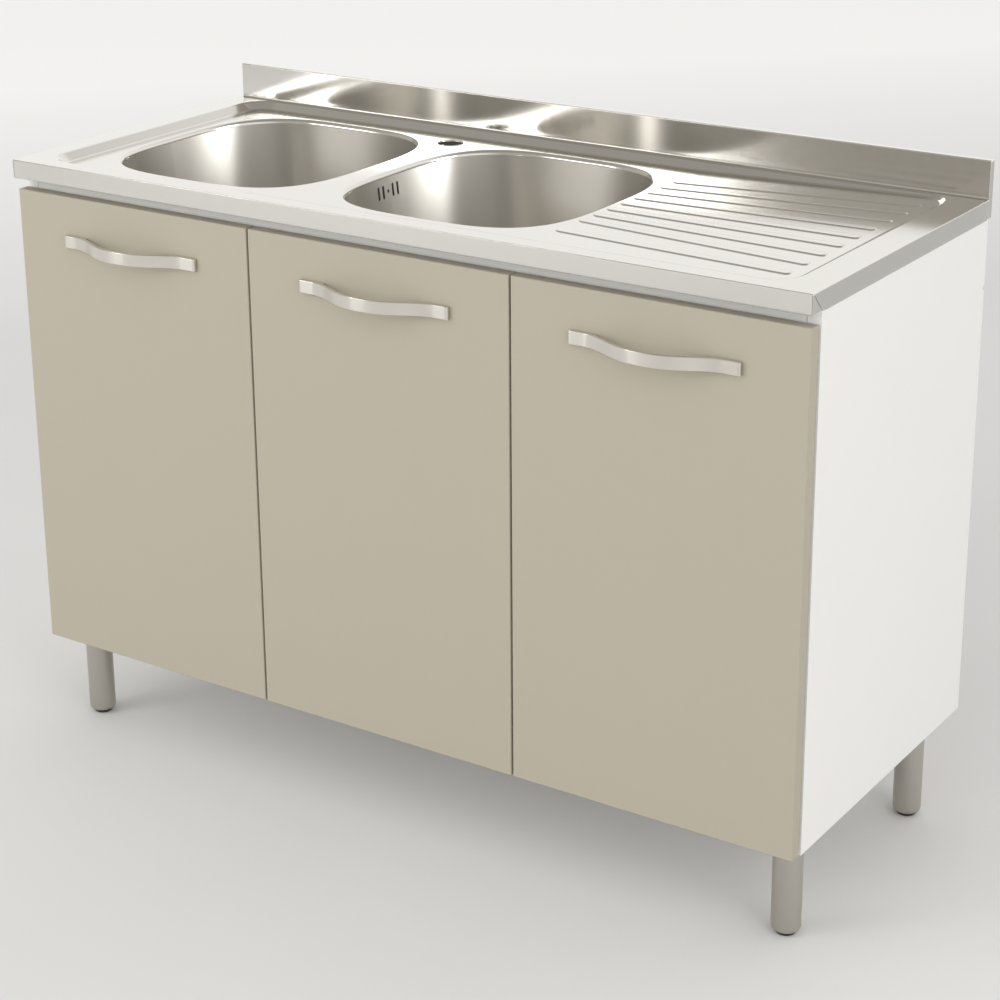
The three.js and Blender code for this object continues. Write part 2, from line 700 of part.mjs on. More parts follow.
// The lift-out basket: a perforated cup with a rim and a knob on a stem.
function makeBasket(centreX) {
  const top = LEDGE_Z + FIT + BASKET_WALL;
  const rim = CUP_INNER - BASKET_CLEARANCE;
  const wall = LEDGE_RADIUS - BASKET_CLEARANCE;
  const foot = wall - WASTE_WALL;
  const floor = top - BASKET_DEPTH;
  const stem = BASKET_KNOB_RADIUS / 2;
  const knobTop = top + BASKET_WALL;
  const cup = turnedSolid(
    [
      [0, floor - BASKET_WALL],
      [foot - BASKET_FOOT_IN, floor - BASKET_WALL],
      [foot, floor + BASKET_FOOT_UP],
      [wall, top - BASKET_WALL],
      [rim, top - BASKET_WALL],
      [rim, top],
      [wall - BASKET_WALL, top],
      [foot - BASKET_WALL, floor + BASKET_FOOT_UP],
      [foot - BASKET_FOOT_IN - BASKET_WALL, floor],
      [stem, floor],
      [stem, knobTop - KNOB_HEIGHT],
      [BASKET_KNOB_RADIUS, knobTop - KNOB_HEIGHT + KNOB_SLOPE],
      [BASKET_KNOB_RADIUS, knobTop - KNOB_EDGE],
      [BASKET_KNOB_RADIUS - KNOB_EDGE, knobTop],
      [0, knobTop],
    ],
    centreX,
    BOWL_Y,
    18,
  );
  const holes = [];
  const pitchRadius = (foot + stem) / 2 + BASKET_HOLE_SHIFT;
  for (let i = 0; i < BASKET_HOLES; i += 1) {
    const turn = (2 * Math.PI * i) / BASKET_HOLES;
    const x = centreX + pitchRadius * Math.cos(turn);
    const y = BOWL_Y + pitchRadius * Math.sin(turn);
    holes.push(rod('z', x, y, floor - 2 * BASKET_WALL, BASKET_HOLE_RADIUS, 4 * BASKET_WALL, 6));
  }
  return cut(toSolid(cup), ...holes);
}

// ---------------------------------------------------------------- carcass

// Blind holes for shelf pins in a board face at x, drilled towards a side.
function pinHoles(x, side) {
  const middle = SHELF_HEIGHT - PIN_RADIUS - FIT;
  const x0 = side > 0 ? x - FIT : x - PIN_DEPTH - FIT;
  const holes = [];
  for (const y of pinRows()) {
    for (let i = 0; i < PIN_HOLES; i += 1) {
      const z = middle + (i - (PIN_HOLES - 1) / 2) * PIN_HOLE_PITCH;
      holes.push(rod('x', x0, y, z, PIN_RADIUS + FIT, PIN_DEPTH + 2 * FIT, 8));
    }
  }
  return holes;
}

function pinRows() {
  const front = CARCASS_FRONT + SHELF_SETBACK + PIN_ROW_INSET;
  const back = CARCASS_BACK - BOARD - PIN_ROW_INSET;
  return [front, back];
}

// A side panel with the small wall-bracket notch in its rear edge.
function makeSidePanel(side) {
  const notchTop = DECK_HEIGHT - WALL_NOTCH_BELOW_DECK;
  const outline = [
    point(CARCASS_FRONT, CARCASS_BOTTOM),
    point(CARCASS_BACK, CARCASS_BOTTOM),
    point(CARCASS_BACK, notchTop - WALL_NOTCH_HEIGHT),
    point(CARCASS_BACK - WALL_NOTCH_DEPTH, notchTop - WALL_NOTCH_HEIGHT),
    point(CARCASS_BACK - WALL_NOTCH_DEPTH, notchTop),
    point(CARCASS_BACK, notchTop),
    point(CARCASS_BACK, SIDE_TOP),
    point(CARCASS_FRONT, SIDE_TOP),
  ];
  const [x0, x1] = side > 0 ? [INNER_X, HALF_CARCASS] : [-HALF_CARCASS, -INNER_X];
  const board = toSolid(extrude(outline, 'x', x0, x1));
  return side > 0 ? cut(board, ...pinHoles(INNER_X, 1)) : board;
}

function makeDivider() {
  const board = box(
    DIVIDER_X - BOARD / 2,
    DIVIDER_X + BOARD / 2,
    CARCASS_FRONT,
    CARCASS_BACK - BOARD - FIT,
    FLOOR_TOP + FIT,
    RAIL_BOTTOM - FIT,
  );
  return cut(toSolid(board), ...pinHoles(DIVIDER_X + BOARD / 2, -1));
}

function makeShelf() {
  return box(
    DIVIDER_X + BOARD / 2 + SHELF_PLAY,
    INNER_X - SHELF_PLAY,
    CARCASS_FRONT + SHELF_SETBACK,
    CARCASS_BACK - BOARD - FIT,
    SHELF_HEIGHT,
    SHELF_HEIGHT + SHELF_BOARD,
  );
}

// A board that runs between the two side panels.
const crossBoard = (y0, y1, z0, z1) => box(-INNER_X + FIT, INNER_X - FIT, y0, y1, z0, z1);

// ---------------------------------------------------------------- doors, handles, hinges

const DOORS = [
  { name: 'left', x0: -DOOR_EDGE_X, x1: DOOR_SPLIT_X - DOOR_GAP / 2, hinge: -1 },
  { name: 'middle', x0: DOOR_SPLIT_X + DOOR_GAP / 2, x1: DIVIDER_X - DOOR_GAP / 2, hinge: 1 },
  { name: 'right', x0: DIVIDER_X + DOOR_GAP / 2, x1: DOOR_EDGE_X, hinge: 1 },
];

const hingeEdge = (door) => (door.hinge > 0 ? door.x1 : door.x0);
const cupX = (door) => hingeEdge(door) - door.hinge * CUP_FROM_EDGE;
const doorMiddle = (door) => (door.x0 + door.x1) / 2;

function makeDoor(door) {
  const panel = extrude(
    rectangle(door.x0, door.x1, DOOR_BOTTOM, DOOR_TOP),
    'y',
    DOOR_SETBACK,
    DOOR_BACK,
    DOOR_EDGE,
  );
  const cups = Object.values(HINGE_HEIGHTS).map((z) =>
    rod('y', cupX(door), DOOR_BACK - CUP_BORE_DEPTH, z, CUP_RADIUS + FIT, 2 * CUP_BORE_DEPTH),
  );
  const screws = [-1, 1].map((end) => {
    const x = doorMiddle(door) + (end * HANDLE_PITCH) / 2;
    return rod('y', x, DOOR_SETBACK - FIT, HANDLE_Z, SCREW_RADIUS + FIT, DOOR_THICKNESS + 2 * FIT, 8);
  });
  return cut(toSolid(panel), ...cups, ...screws);
}

// How far the front of a handle stands out of the door, at a place along it.
function handleReach(along) {
  const padEnd = HANDLE_PITCH / 2 - HANDLE_TIP;
  const t = Math.min(Math.abs(along) / padEnd, 1);
  const bow = Math.cos((Math.PI / 2) * t ** HANDLE_BOW_POWER) ** 2;
  return HANDLE_PAD_REACH + (HANDLE_REACH - HANDLE_PAD_REACH) * bow;
}

// A handle seen from above: a bowed strap on two wedge feet, as one closed outline.
function makeHandle(door) {
  const middle = doorMiddle(door);
  const half = HANDLE_LENGTH / 2;
  const footInside = half - HANDLE_FOOT;
  const base = DOOR_SETBACK - FIT;
  const outline = [];
  const at = (x, reach) => outline.push(point(middle + x, DOOR_SETBACK - reach));
  at(-half, HANDLE_PAD_REACH - HANDLE_TIP_DROP);
  for (let i = 0; i <= HANDLE_STEPS; i += 1) {
    const x = THREE.MathUtils.lerp(-half + HANDLE_TIP, half - HANDLE_TIP, i / HANDLE_STEPS);
    at(x, handleReach(x));
  }
  at(half, HANDLE_PAD_REACH - HANDLE_TIP_DROP);
  outline.push(point(middle + half, base));
  outline.push(point(middle + footInside, base));
  const backEnd = footInside - HANDLE_FOOT_SLANT;
  const backSteps = (HANDLE_STEPS * 2) / 3;
  for (let i = 0; i <= backSteps; i += 1) {
    const x = THREE.MathUtils.lerp(backEnd, -backEnd, i / backSteps);
    const slope = (handleReach(x + 1) - handleReach(x - 1)) / 2;
    const thickness = HANDLE_BAR * Math.hypot(1, slope);
    at(x, handleReach(x) - thickness);
  }
  outline.push(point(middle - footInside, base));
  outline.push(point(middle - half, base));
  const z0 = HANDLE_Z - HANDLE_HEIGHT / 2;
  const strap = extrude(outline, 'z', z0, z0 + HANDLE_HEIGHT, HANDLE_EDGE);
  const holes = [-1, 1].map((end) => {
    const x = middle + (end * HANDLE_PITCH) / 2;
    const depth = SCREW_BITE + FIT;
    return rod('y', x, DOOR_SETBACK - depth, HANDLE_Z, SCREW_RADIUS + FIT, depth, 8);
  });
  return cut(toSolid(strap), ...holes);
}

function makeHandleScrew(door, end) {
  const x = doorMiddle(door) + (end * HANDLE_PITCH) / 2;
  const head = DOOR_BACK + FIT;
  const tip = DOOR_SETBACK - SCREW_BITE;
  const shank = rod('y', x, tip, HANDLE_Z, SCREW_RADIUS, head - tip + SCREW_HEAD / 2, 8);
  return join(rod('y', x, head, HANDLE_Z, SCREW_HEAD_RADIUS, SCREW_HEAD, 12), shank);
}

// A hinge cup: a round pot in the door with a screw plate on the door's back.
function makeCup(door, z) {
  const x = cupX(door);
  const back = DOOR_BACK + FIT;
  const half = CUP_PLATE_HEIGHT / 2;
  const wide = CUP_RADIUS - CUP_PLATE_INSET;
  const plate = extrude(
    roundedRectangle(x - wide, x + wide, z - half, z + half, CUP_PLATE_CORNER),
    'y',
    back,
    back + CUP_PLATE,
  );
  const pot = rod('y', x, DOOR_BACK - CUP_DEPTH, z, CUP_RADIUS, CUP_DEPTH + FIT + CUP_PLATE / 2);
  const hollow = rod('y', x, DOOR_BACK - CUP_DEPTH + CUP_WALL, z, CUP_RADIUS - CUP_WALL, 2 * CUP_DEPTH);
  return cut(join(plate, pot), hollow);
}

// A hinge arm: a plate on the board, and a cranked arm whose nose reaches down into the cup.
function makeArm(door, z) {
  const towards = -door.hinge;
  const board = door.name === 'middle' ? DIVIDER_X - BOARD / 2 : -towards * INNER_X;
  const face = board + towards * FIT;
  const out = (reach) => face + towards * reach;
  const noseNear = hingeEdge(door) + towards * (HINGE_NOSE_OFFSET - HINGE_NOSE_WIDTH);
  const noseFar = hingeEdge(door) + towards * HINGE_NOSE_OFFSET;
  const noseFront = DOOR_BACK - CUP_DEPTH + CUP_WALL + FIT;
  const armFront = DOOR_BACK + FIT + CUP_PLATE + FIT;
  const armBack = CARCASS_FRONT + HINGE_PLATE_SETBACK + HINGE_PLATE_LENGTH;
  const plateFront = CARCASS_FRONT + HINGE_PLATE_SETBACK;
  const outline = [
    point(noseNear, noseFront),
    point(noseFar, noseFront),
    point(noseFar, armFront + HINGE_ARM_DEPTH),
    point(out(HINGE_PLATE_THICKNESS + HINGE_ARM_DEPTH), plateFront + HINGE_PLATE_SETBACK),
    point(out(HINGE_PLATE_THICKNESS + HINGE_ARM_DEPTH), armBack - HINGE_ARM_DEPTH / 2),
    point(out(HINGE_PLATE_THICKNESS), armBack),
    point(out(HINGE_PLATE_THICKNESS / 2), armBack),
    point(out(HINGE_PLATE_THICKNESS / 2), plateFront),
    point(noseNear, armFront),
  ];
  const arm = extrude(
    towards > 0 ? outline : outline.reverse(),
    'z',
    z - HINGE_ARM_HEIGHT / 2,
    z + HINGE_ARM_HEIGHT / 2,
  );
  const half = HINGE_PLATE_HEIGHT / 2;
  const middle = plateFront + HINGE_PLATE_LENGTH / 2;
  const wing = HINGE_PLATE_WING / 2;
  const low = Math.min(out(0), out(HINGE_PLATE_THICKNESS));
  const high = Math.max(out(0), out(HINGE_PLATE_THICKNESS));
  const wings = roundedRectangle(middle - wing, middle + wing, z - half, z + half, HINGE_PLATE_CORNER);
  const plate = extrude(wings, 'x', low, high);
  const base = box(low, high, plateFront, armBack, z - HINGE_ARM_HEIGHT / 2, z + HINGE_ARM_HEIGHT / 2);
  return join(arm, plate, base);
}

// ---------------------------------------------------------------- legs

const LEG_PLACES = [
  { name: 'front_left', x: -HALF_DECK + LEG_INSET_SIDE, y: LEG_INSET_FRONT },
  { name: 'front_right', x: HALF_DECK - LEG_INSET_SIDE, y: LEG_INSET_FRONT },
  { name: 'back_left', x: -HALF_DECK + LEG_INSET_SIDE, y: DECK_DEPTH - LEG_INSET_BACK },
  { name: 'back_right', x: HALF_DECK - LEG_INSET_SIDE, y: DECK_DEPTH - LEG_INSET_BACK },
];

const LEG_TOP = CARCASS_BOTTOM - FIT - LEG_PLATE_THICKNESS - FIT;
const LEG_BOTTOM = FOOT_HEIGHT + FIT;

// A tube whose lower end is drawn in to a hole for the foot's stem.
function makeLeg({ x, y }) {
  const inner = LEG_RADIUS - LEG_WALL;
  const hole = FOOT_STEM_RADIUS + FIT;
  const insideCurve = [];
  const outsideCurve = [];
  const steps = 3;
  for (let i = 0; i <= steps; i += 1) {
    const turn = (QUARTER * i) / steps;
    const reach = LEG_SHOULDER * (1 - Math.cos(turn));
    const height = LEG_BOTTOM + LEG_SHOULDER * (1 - Math.sin(turn));
    insideCurve.push([inner - reach, height + LEG_WALL]);
    outsideCurve.unshift([LEG_RADIUS - reach, height]);
  }
  const profile = [
    [inner, LEG_TOP],
    ...insideCurve,
    [hole, LEG_BOTTOM + LEG_WALL],
    [hole, LEG_BOTTOM],
    ...outsideCurve,
    [LEG_RADIUS, LEG_TOP],
  ];
  return turned(profile, x, y, 16);
}

// The plate under the bottom board, with a spigot inside the tube.
function makeLegPlate({ x, y }) {
  const top = CARCASS_BOTTOM - FIT;
  const bottom = top - LEG_PLATE_THICKNESS;
  const half = LEG_PLATE / 2;
  const outline = roundedRectangle(x - half, x + half, y - half, y + half, LEG_PLATE_CORNER);
  const plate = extrude(outline, 'z', bottom, top);
  const spigot = rod('z', x, y, bottom - LEG_SPIGOT, LEG_RADIUS - LEG_WALL - 2 * FIT, LEG_SPIGOT + FIT);
  return join(plate, spigot);
}

// A round pad on a threaded stem that screws up into the leg.
function makeFoot({ x, y }) {
  const profile = [
    [0, 0],
    [FOOT_RADIUS - FOOT_CHAMFER, 0],
    [FOOT_RADIUS, FOOT_CHAMFER],
    [FOOT_RADIUS, FOOT_HEIGHT],
    [FOOT_STEM_RADIUS, FOOT_HEIGHT],
    [FOOT_STEM_RADIUS, FOOT_HEIGHT + FOOT_STEM_LENGTH],
    [0, FOOT_HEIGHT + FOOT_STEM_LENGTH],
  ];
  return turnedSolid(profile, x, y);
}

// ---------------------------------------------------------------- assembly

piece('sink_deck', makeDeck(), brushedSteel);
piece('bowl_left', makeBowl(LEFT_BOWL_X), bowlSteel);
piece('bowl_right', cut(makeBowl(RIGHT_BOWL_X), ...overflowCutters(RIGHT_BOWL_X)), bowlSteel);

for (const [side, x] of [['left', LEFT_BOWL_X], ['right', RIGHT_BOWL_X]]) {
  piece(`strainer_body_${side}`, makeStrainerBody(x), satinNickel);
  piece(`waste_nut_${side}`, makeWasteNut(x), whitePlastic);
  piece(`basket_${side}`, makeBasket(x), satinNickel);
}

piece('side_panel_left', makeSidePanel(-1), whiteBoard);
piece('side_panel_right', makeSidePanel(1), whiteBoard);
piece('divider_panel', makeDivider(), whiteBoard);
const bottomBoard = crossBoard(CARCASS_FRONT, CARCASS_BACK, CARCASS_BOTTOM, FLOOR_TOP);
piece('bottom_panel', bottomBoard, whiteBoard);
const frontRail = crossBoard(CARCASS_FRONT, CARCASS_FRONT + BOARD, RAIL_BOTTOM, RAIL_TOP);
piece('front_rail', frontRail, whiteBoard);
const railFace = CARCASS_BACK - BOARD;
const upperRail = crossBoard(railFace, CARCASS_BACK, RAIL_TOP - BACK_RAIL_HEIGHT, RAIL_TOP);
piece('back_rail_upper', upperRail, whiteBoard);
const lowerRail = crossBoard(railFace, CARCASS_BACK, FLOOR_TOP + FIT, FLOOR_TOP + FIT + LOWER_RAIL_HEIGHT);
piece('back_rail_lower', lowerRail, whiteBoard);

piece('shelf', makeShelf(), whiteBoard);
const pinZ = SHELF_HEIGHT - PIN_RADIUS - FIT;
pinRows().forEach((y, row) => {
  const place = row === 0 ? 'front' : 'back';
  const leftX = DIVIDER_X + BOARD / 2 - PIN_DEPTH;
  const rightX = INNER_X + PIN_DEPTH - PIN_LENGTH;
  piece(`shelf_pin_left_${place}`, rod('x', leftX, y, pinZ, PIN_RADIUS, PIN_LENGTH, 8), zincPlate);
  piece(`shelf_pin_right_${place}`, rod('x', rightX, y, pinZ, PIN_RADIUS, PIN_LENGTH, 8), zincPlate);
});

for (const door of DOORS) {
  piece(`door_${door.name}`, makeDoor(door), taupeDoor);
  piece(`handle_${door.name}`, makeHandle(door), satinNickel);
  piece(`handle_screw_${door.name}_a`, makeHandleScrew(door, -1), zincPlate);
  piece(`handle_screw_${door.name}_b`, makeHandleScrew(door, 1), zincPlate);
  for (const [height, z] of Object.entries(HINGE_HEIGHTS)) {
    piece(`hinge_cup_${door.name}_${height}`, makeCup(door, z), zincPlate);
    piece(`hinge_arm_${door.name}_${height}`, makeArm(door, z), zincPlate);
  }
}

for (const place of LEG_PLACES) {
  piece(`leg_${place.name}`, makeLeg(place), satinNickel);
  piece(`leg_plate_${place.name}`, makeLegPlate(place), darkPlastic);
  piece(`foot_${place.name}`, makeFoot(place), darkPlastic);
}

export default unit;
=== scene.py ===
"""Looks of a kitchen sink unit: a pressed steel top with two bowls and a ribbed drainer,
on a white board carcass with three taupe doors, strap handles and four metal legs."""

import math

import bmesh
import bpy
from bpy.props import FloatProperty, FloatVectorProperty, IntProperty, PointerProperty
from mathutils import Matrix, Vector
from mathutils.geometry import delaunay_2d_cdt


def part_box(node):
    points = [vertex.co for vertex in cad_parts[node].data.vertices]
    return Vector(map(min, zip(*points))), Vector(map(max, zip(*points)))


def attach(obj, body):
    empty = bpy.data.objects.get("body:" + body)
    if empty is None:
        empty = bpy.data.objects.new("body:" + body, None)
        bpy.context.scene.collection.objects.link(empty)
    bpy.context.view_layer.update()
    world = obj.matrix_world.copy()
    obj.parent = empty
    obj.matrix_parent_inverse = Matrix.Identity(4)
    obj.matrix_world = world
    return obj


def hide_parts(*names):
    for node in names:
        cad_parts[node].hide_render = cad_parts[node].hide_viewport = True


bl_info = {
    "name": "Kitchen Sink Unit",
    "version": (1, 0, 0),
    "blender": (4, 5, 0),
    "location": "View3D > Sidebar > Sink Unit",
    "description": "Builds the visible pieces of a kitchen sink unit on its fixed frame",
    "category": "Object",
}

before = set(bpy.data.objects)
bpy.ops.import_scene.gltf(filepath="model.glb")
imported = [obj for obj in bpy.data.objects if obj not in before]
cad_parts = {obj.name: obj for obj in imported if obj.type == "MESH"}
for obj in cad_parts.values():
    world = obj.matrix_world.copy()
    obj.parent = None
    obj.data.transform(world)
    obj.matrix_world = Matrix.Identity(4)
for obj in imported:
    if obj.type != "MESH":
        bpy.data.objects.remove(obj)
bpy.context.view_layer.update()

DECK_LOW, DECK_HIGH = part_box("sink_deck")
DECK_FRONT = DECK_LOW.y
BOWL_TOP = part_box("bowl_left")[1].z
BOWLS = {side: sum(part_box(f"bowl_{side}"), Vector()) / 2 for side in ("left", "right")}
DOORS = ("left", "middle", "right")
LEGS = ("front_left", "front_right", "back_left", "back_right")
DOOR_BODIES = {name: f"{name}_door" for name in DOORS}
HINGE_SIDE = {"left": -1, "middle": 1, "right": 1}


def length(name, description, default):
    """A size in metres that a user may change."""
    return FloatProperty(
        name=name, description=description, default=default, precision=4, unit="LENGTH"
    )


def colour(name, description, default):
    """A colour that a user may change."""
    return FloatVectorProperty(
        name=name, description=description, default=default, size=3, min=0, max=1, subtype="COLOR"
    )


# ---------------------------------------------------------------- sizes and colours


class SinkTopSizes(bpy.types.PropertyGroup):
    """Sizes of the pressed steel top."""

    top: length("Deck height", "Height of the deck's top face", DECK_LOW.z + 0.025)
    sheet: length("Sheet", "Thickness of the steel", 0.001)
    fold: length("Fold radius", "Radius of the folded front and side edges", 0.0008)
    corner: length("Corner radius", "Radius of the front corners seen from above", 0.001)
    apron: length("Apron height", "Height of the turned-down edges", 0.025)
    hem: length("Hem", "Width of the hem under the front apron", 0.008)
    tab: length("Corner tab", "Length of the slanted tab at the front corners", 0.024)
    seam: length("Corner seam", "Gap of the slanted seam at the front corners", 0.0009)
    slit: length("Corner slit", "Width of the slit at the front corners' folds", 0.0006)
    cove: length("Cove", "Radius between the deck and the upstand", 0.0024)
    upstand: length("Upstand thickness", "Thickness of the folded upstand", 0.01)
    sunk_left: length("Sunk left", "Deck margin at the left of the sunk area", 0.032)
    sunk_right: length("Sunk right", "Deck margin at the right of the sunk area", 0.044)
    sunk_front: length("Sunk front", "Deck margin in front of the sunk area", 0.028)
    sunk_back: length("Sunk back", "Deck margin behind the sunk area", 0.016)
    sunk_corner: length("Sunk corner", "Corner radius of the sunk area", 0.04)
    sunk_depth: length("Sunk depth", "Depth of the sunk area round the bowls", 0.01)
    end_depth: length("End depth", "Depth of the drainer at its right end", 0.004)
    rounding: length("Press rounding", "Rounding of the pressed wall's two bends", 0.0022)
    crease_gap: length("Crease gap", "From the right bowl to where the drainer starts to rise", 0.012)
    tap_radius: length("Tap hole radius", "Radius of the tap hole", 0.0175)
    tap_back: length("Tap hole from back", "From the tap hole's middle to the back", 0.07)
    tap_off: length("Tap hole off middle", "From the middle between the bowls", -0.006)


class RibSizes(bpy.types.PropertyGroup):
    """Sizes of the drainer's pressed ribs."""

    count: IntProperty(name="Ribs", description="Number of ribs", default=9, min=1)
    width: length("Rib width", "Width of a rib at its foot", 0.015)
    height: length("Rib height", "How far a rib stands up", 0.0012)
    slope: length("Rib slope", "Width of a rib's sloping side", 0.0016)
    start_gap: length("Start gap", "From the bowl to the ribs", 0.012)
    end_gap: length("End gap", "From the ribs to the sunk area's right end", 0.028)
    rear_margin: length("Rear margin", "From the rear rib to the sunk area's back", 0.049)
    pitch_bowl: length("Pitch at bowl", "Distance between ribs at the bowl", 0.0333)
    pitch_end: length("Pitch at end", "Distance between ribs at the right end", 0.045)
    fan_about: FloatProperty(name="Fan about", description="Rib that the fan opens about", default=3.0)
    front_y: length("Front rib", "The front rib's place at the bowl, from the deck's front", 0.113)


class BowlSizes(bpy.types.PropertyGroup):
    """Sizes of the drawn bowls."""

    width: length("Bowl width", "Width of a bowl's mouth", 0.348)
    length: length("Bowl length", "Length of a bowl's mouth", 0.382)
    depth: length("Bowl depth", "Depth below the bowl's rim", 0.155)
    rim: length("Rim radius", "Radius of the rolled rim", 0.006)
    draft: length("Draft", "How far the walls draw in", 0.01)
    floor_radius: length("Floor radius", "Radius between the walls and the floor", 0.048)
    floor_fall: length("Floor fall", "How far the floor falls to the waste", 0.004)
    flange: length("Flange", "Width of the flange under the deck", 0.01)
    seat: length("Waste seat", "Radius of the sunk seat round the waste", 0.059)
    seat_depth: length("Seat depth", "Depth of the waste seat", 0.003)
    hole: length("Waste hole", "Radius of the waste hole", 0.045)
    slot_pitch: length("Overflow pitch", "Distance between the overflow slots", 0.0107)
    slot_width: length("Slot width", "Width of an overflow slot", 0.0044)
    slot_height: length("Slot height", "Height of an overflow slot", 0.018)
    slot_below: length("Slot below rim", "From the rim to the top of the slots", 0.014)
    slot_off: length("Slots off middle", "From the bowl's middle to the overflow's", -0.02)
    squareness: FloatProperty(
        name="Squareness", description="Power of the superellipse outline", default=3.4, min=2
    )


class FittingSizes(bpy.types.PropertyGroup):
    """Sizes of the handles, legs, wastes and board edges."""

    handle_bow: length("Handle bow", "How far a handle's crown stands off the door", 0.034)
    handle_pad: length("Handle pad", "How far a handle's ends stand off the door", 0.0065)
    handle_bar: length("Handle bar", "Thickness of the strap", 0.005)
    handle_foot: length("Handle foot", "Length of a handle's foot", 0.037)
    handle_pitch: length("Handle pitch", "Distance between a handle's screws", 0.192)
    handle_edge: length("Handle edge", "Rounding of the strap's edges", 0.0012)
    board_edge: length("Board edge", "Rounding of the boards' edges", 0.0005)
    screw_head: length("Screw head", "Radius of the small screw heads", 0.0036)
    basket_hole: length("Basket hole", "Radius of a hole in the baskets", 0.0022)


class FinishColours(bpy.types.PropertyGroup):
    """Colours of the finishes."""

    deck: colour("Deck steel", "Satin steel of the top", (0.654, 0.638, 0.605))
    bowl: colour("Bowl steel", "Satin steel of the bowls", (0.58, 0.56, 0.52))
    waste: colour("Waste steel", "Polished steel of the wastes", (0.62, 0.61, 0.59))
    handle: colour("Handle nickel", "Satin nickel of the handles", (0.76, 0.735, 0.68))
    leg: colour("Leg nickel", "Satin nickel of the legs", (0.50, 0.475, 0.43))
    plated: colour("Plated steel", "Nickel plating of hinges and screws", (0.56, 0.555, 0.54))
    board: colour("White board", "Melamine face of the carcass", (0.83, 0.825, 0.80))
    door: colour("Door laminate", "Taupe face of the doors", (0.435, 0.40, 0.322))
    chip: colour("Chipboard", "Raw edges of the boards", (0.42, 0.29, 0.17))
    dark: colour("Dark plastic", "Feet and leg plates", (0.028, 0.027, 0.026))
    pale: colour("White plastic", "Clamp nuts under the bowls", (0.72, 0.71, 0.69))
    # Near black: a sound-deadening coat, and painted shade where the bowls' outer skin shows through the
    # overflow slots.
    damping: colour("Damping coat and shade", "Sprayed coat on the outside of the bowls", (0.06, 0.06, 0.058))
    floor: colour("Floor", "Plain pale floor", (0.80, 0.795, 0.785))


# ---------------------------------------------------------------- meshes


def new_object(name, data):
    """An object of a mesh, a lamp or a camera, linked to the scene."""
    obj = bpy.data.objects.new(name, data)
    bpy.context.scene.collection.objects.link(obj)
    return obj


def mesh_object(name, points, faces):
    """An object from points and faces."""
    mesh = bpy.data.meshes.new(name)
    mesh.from_pydata([tuple(p) for p in points], [], faces)
    mesh.validate()
    return new_object(name, mesh)


def outward(obj):
    """Merges an object's doubles and turns its faces outwards."""
    form = bmesh.new()
    form.from_mesh(obj.data)
    bmesh.ops.remove_doubles(form, verts=form.verts, dist=1e-6)
    bmesh.ops.recalc_face_normals(form, faces=form.faces)
    form.to_mesh(obj.data)
    form.free()
    return obj


def plain_mesh(obj):
    """Makes an object's modifiers part of its mesh."""
    graph = bpy.context.evaluated_depsgraph_get()
    made = bpy.data.meshes.new_from_object(obj.evaluated_get(graph), depsgraph=graph)
    obj.modifiers.clear()
    before = obj.data
    obj.data = made
    bpy.data.meshes.remove(before)
    made.name = obj.name
    return made


def settle(obj, angle=40):
    """Leaves a plain mesh, smooth but for its sharp edges, with its large faces shaded flat."""
    made = plain_mesh(obj)
    made.polygons.foreach_set("use_smooth", [True] * len(made.polygons))
    made.set_sharp_from_angle(angle=math.radians(angle))
    even = obj.modifiers.new("Even shading", "WEIGHTED_NORMAL")
    even.keep_sharp = True
    plain_mesh(obj)
    return obj


def bevelled(obj, width, segments=2, angle=30):
    """Rounds an object's edges that are sharper than an angle in degrees."""
    modifier = obj.modifiers.new("Edges", "BEVEL")
    modifier.width = width
    modifier.segments = segments
    modifier.limit_method = "ANGLE"
    modifier.angle_limit = math.radians(angle)
    modifier.use_clamp_overlap = True
    return obj


def brush_map(obj, centre=None):
    """A UV map whose first axis follows the brushing: along the piece, or round a centre."""
    mesh = obj.data
    layer = mesh.uv_layers.new(name="brush")
    for face in mesh.polygons:
        spots = [mesh.vertices[i].co for i in face.vertices]
        if centre is not None:
            turns = [math.atan2(p.y - centre.y, p.x - centre.x) for p in spots]
            if max(turns) - min(turns) > math.pi:
                turns = [turn + 2 * math.pi if turn < 0 else turn for turn in turns]
            pairs = [(turn, p.z - (p - centre).to_2d().length) for turn, p in zip(turns, spots)]
        elif abs(face.normal.x) > 0.7:
            pairs = [(p.y, p.z) for p in spots]
        else:
            pairs = [(p.x, p.y + p.z) for p in spots]
        for loop, pair in zip(face.loop_indices, pairs):
            layer.data[loop].uv = pair
    return obj


def place(obj, body, cad):
    """Hands a finished piece to the frame, with the solid that it stands for."""
    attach(obj, body)
    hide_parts(cad)


def hand_over(obj, body, slot, cad, rounding=0, bend=30, sharp=40):
    """Dresses, rounds and settles a finished piece, and hands it to the frame."""
    obj.data.materials.append(finishes()[slot])
    if rounding:
        bevelled(obj, rounding, angle=bend)
    settle(obj, sharp)
    place(obj, body, cad)


def copy_of_node(name, new_name):
    """A merged copy of a CAD node, with its flat faces joined."""
    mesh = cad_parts[name].data.copy()
    mesh.materials.clear()
    obj = new_object(new_name, mesh)
    form = bmesh.new()
    form.from_mesh(mesh)
    bmesh.ops.remove_doubles(form, verts=form.verts, dist=2e-5)
    bmesh.ops.dissolve_limit(
        form, angle_limit=math.radians(0.6), verts=form.verts, edges=form.edges
    )
    form.to_mesh(mesh)
    form.free()
    return obj


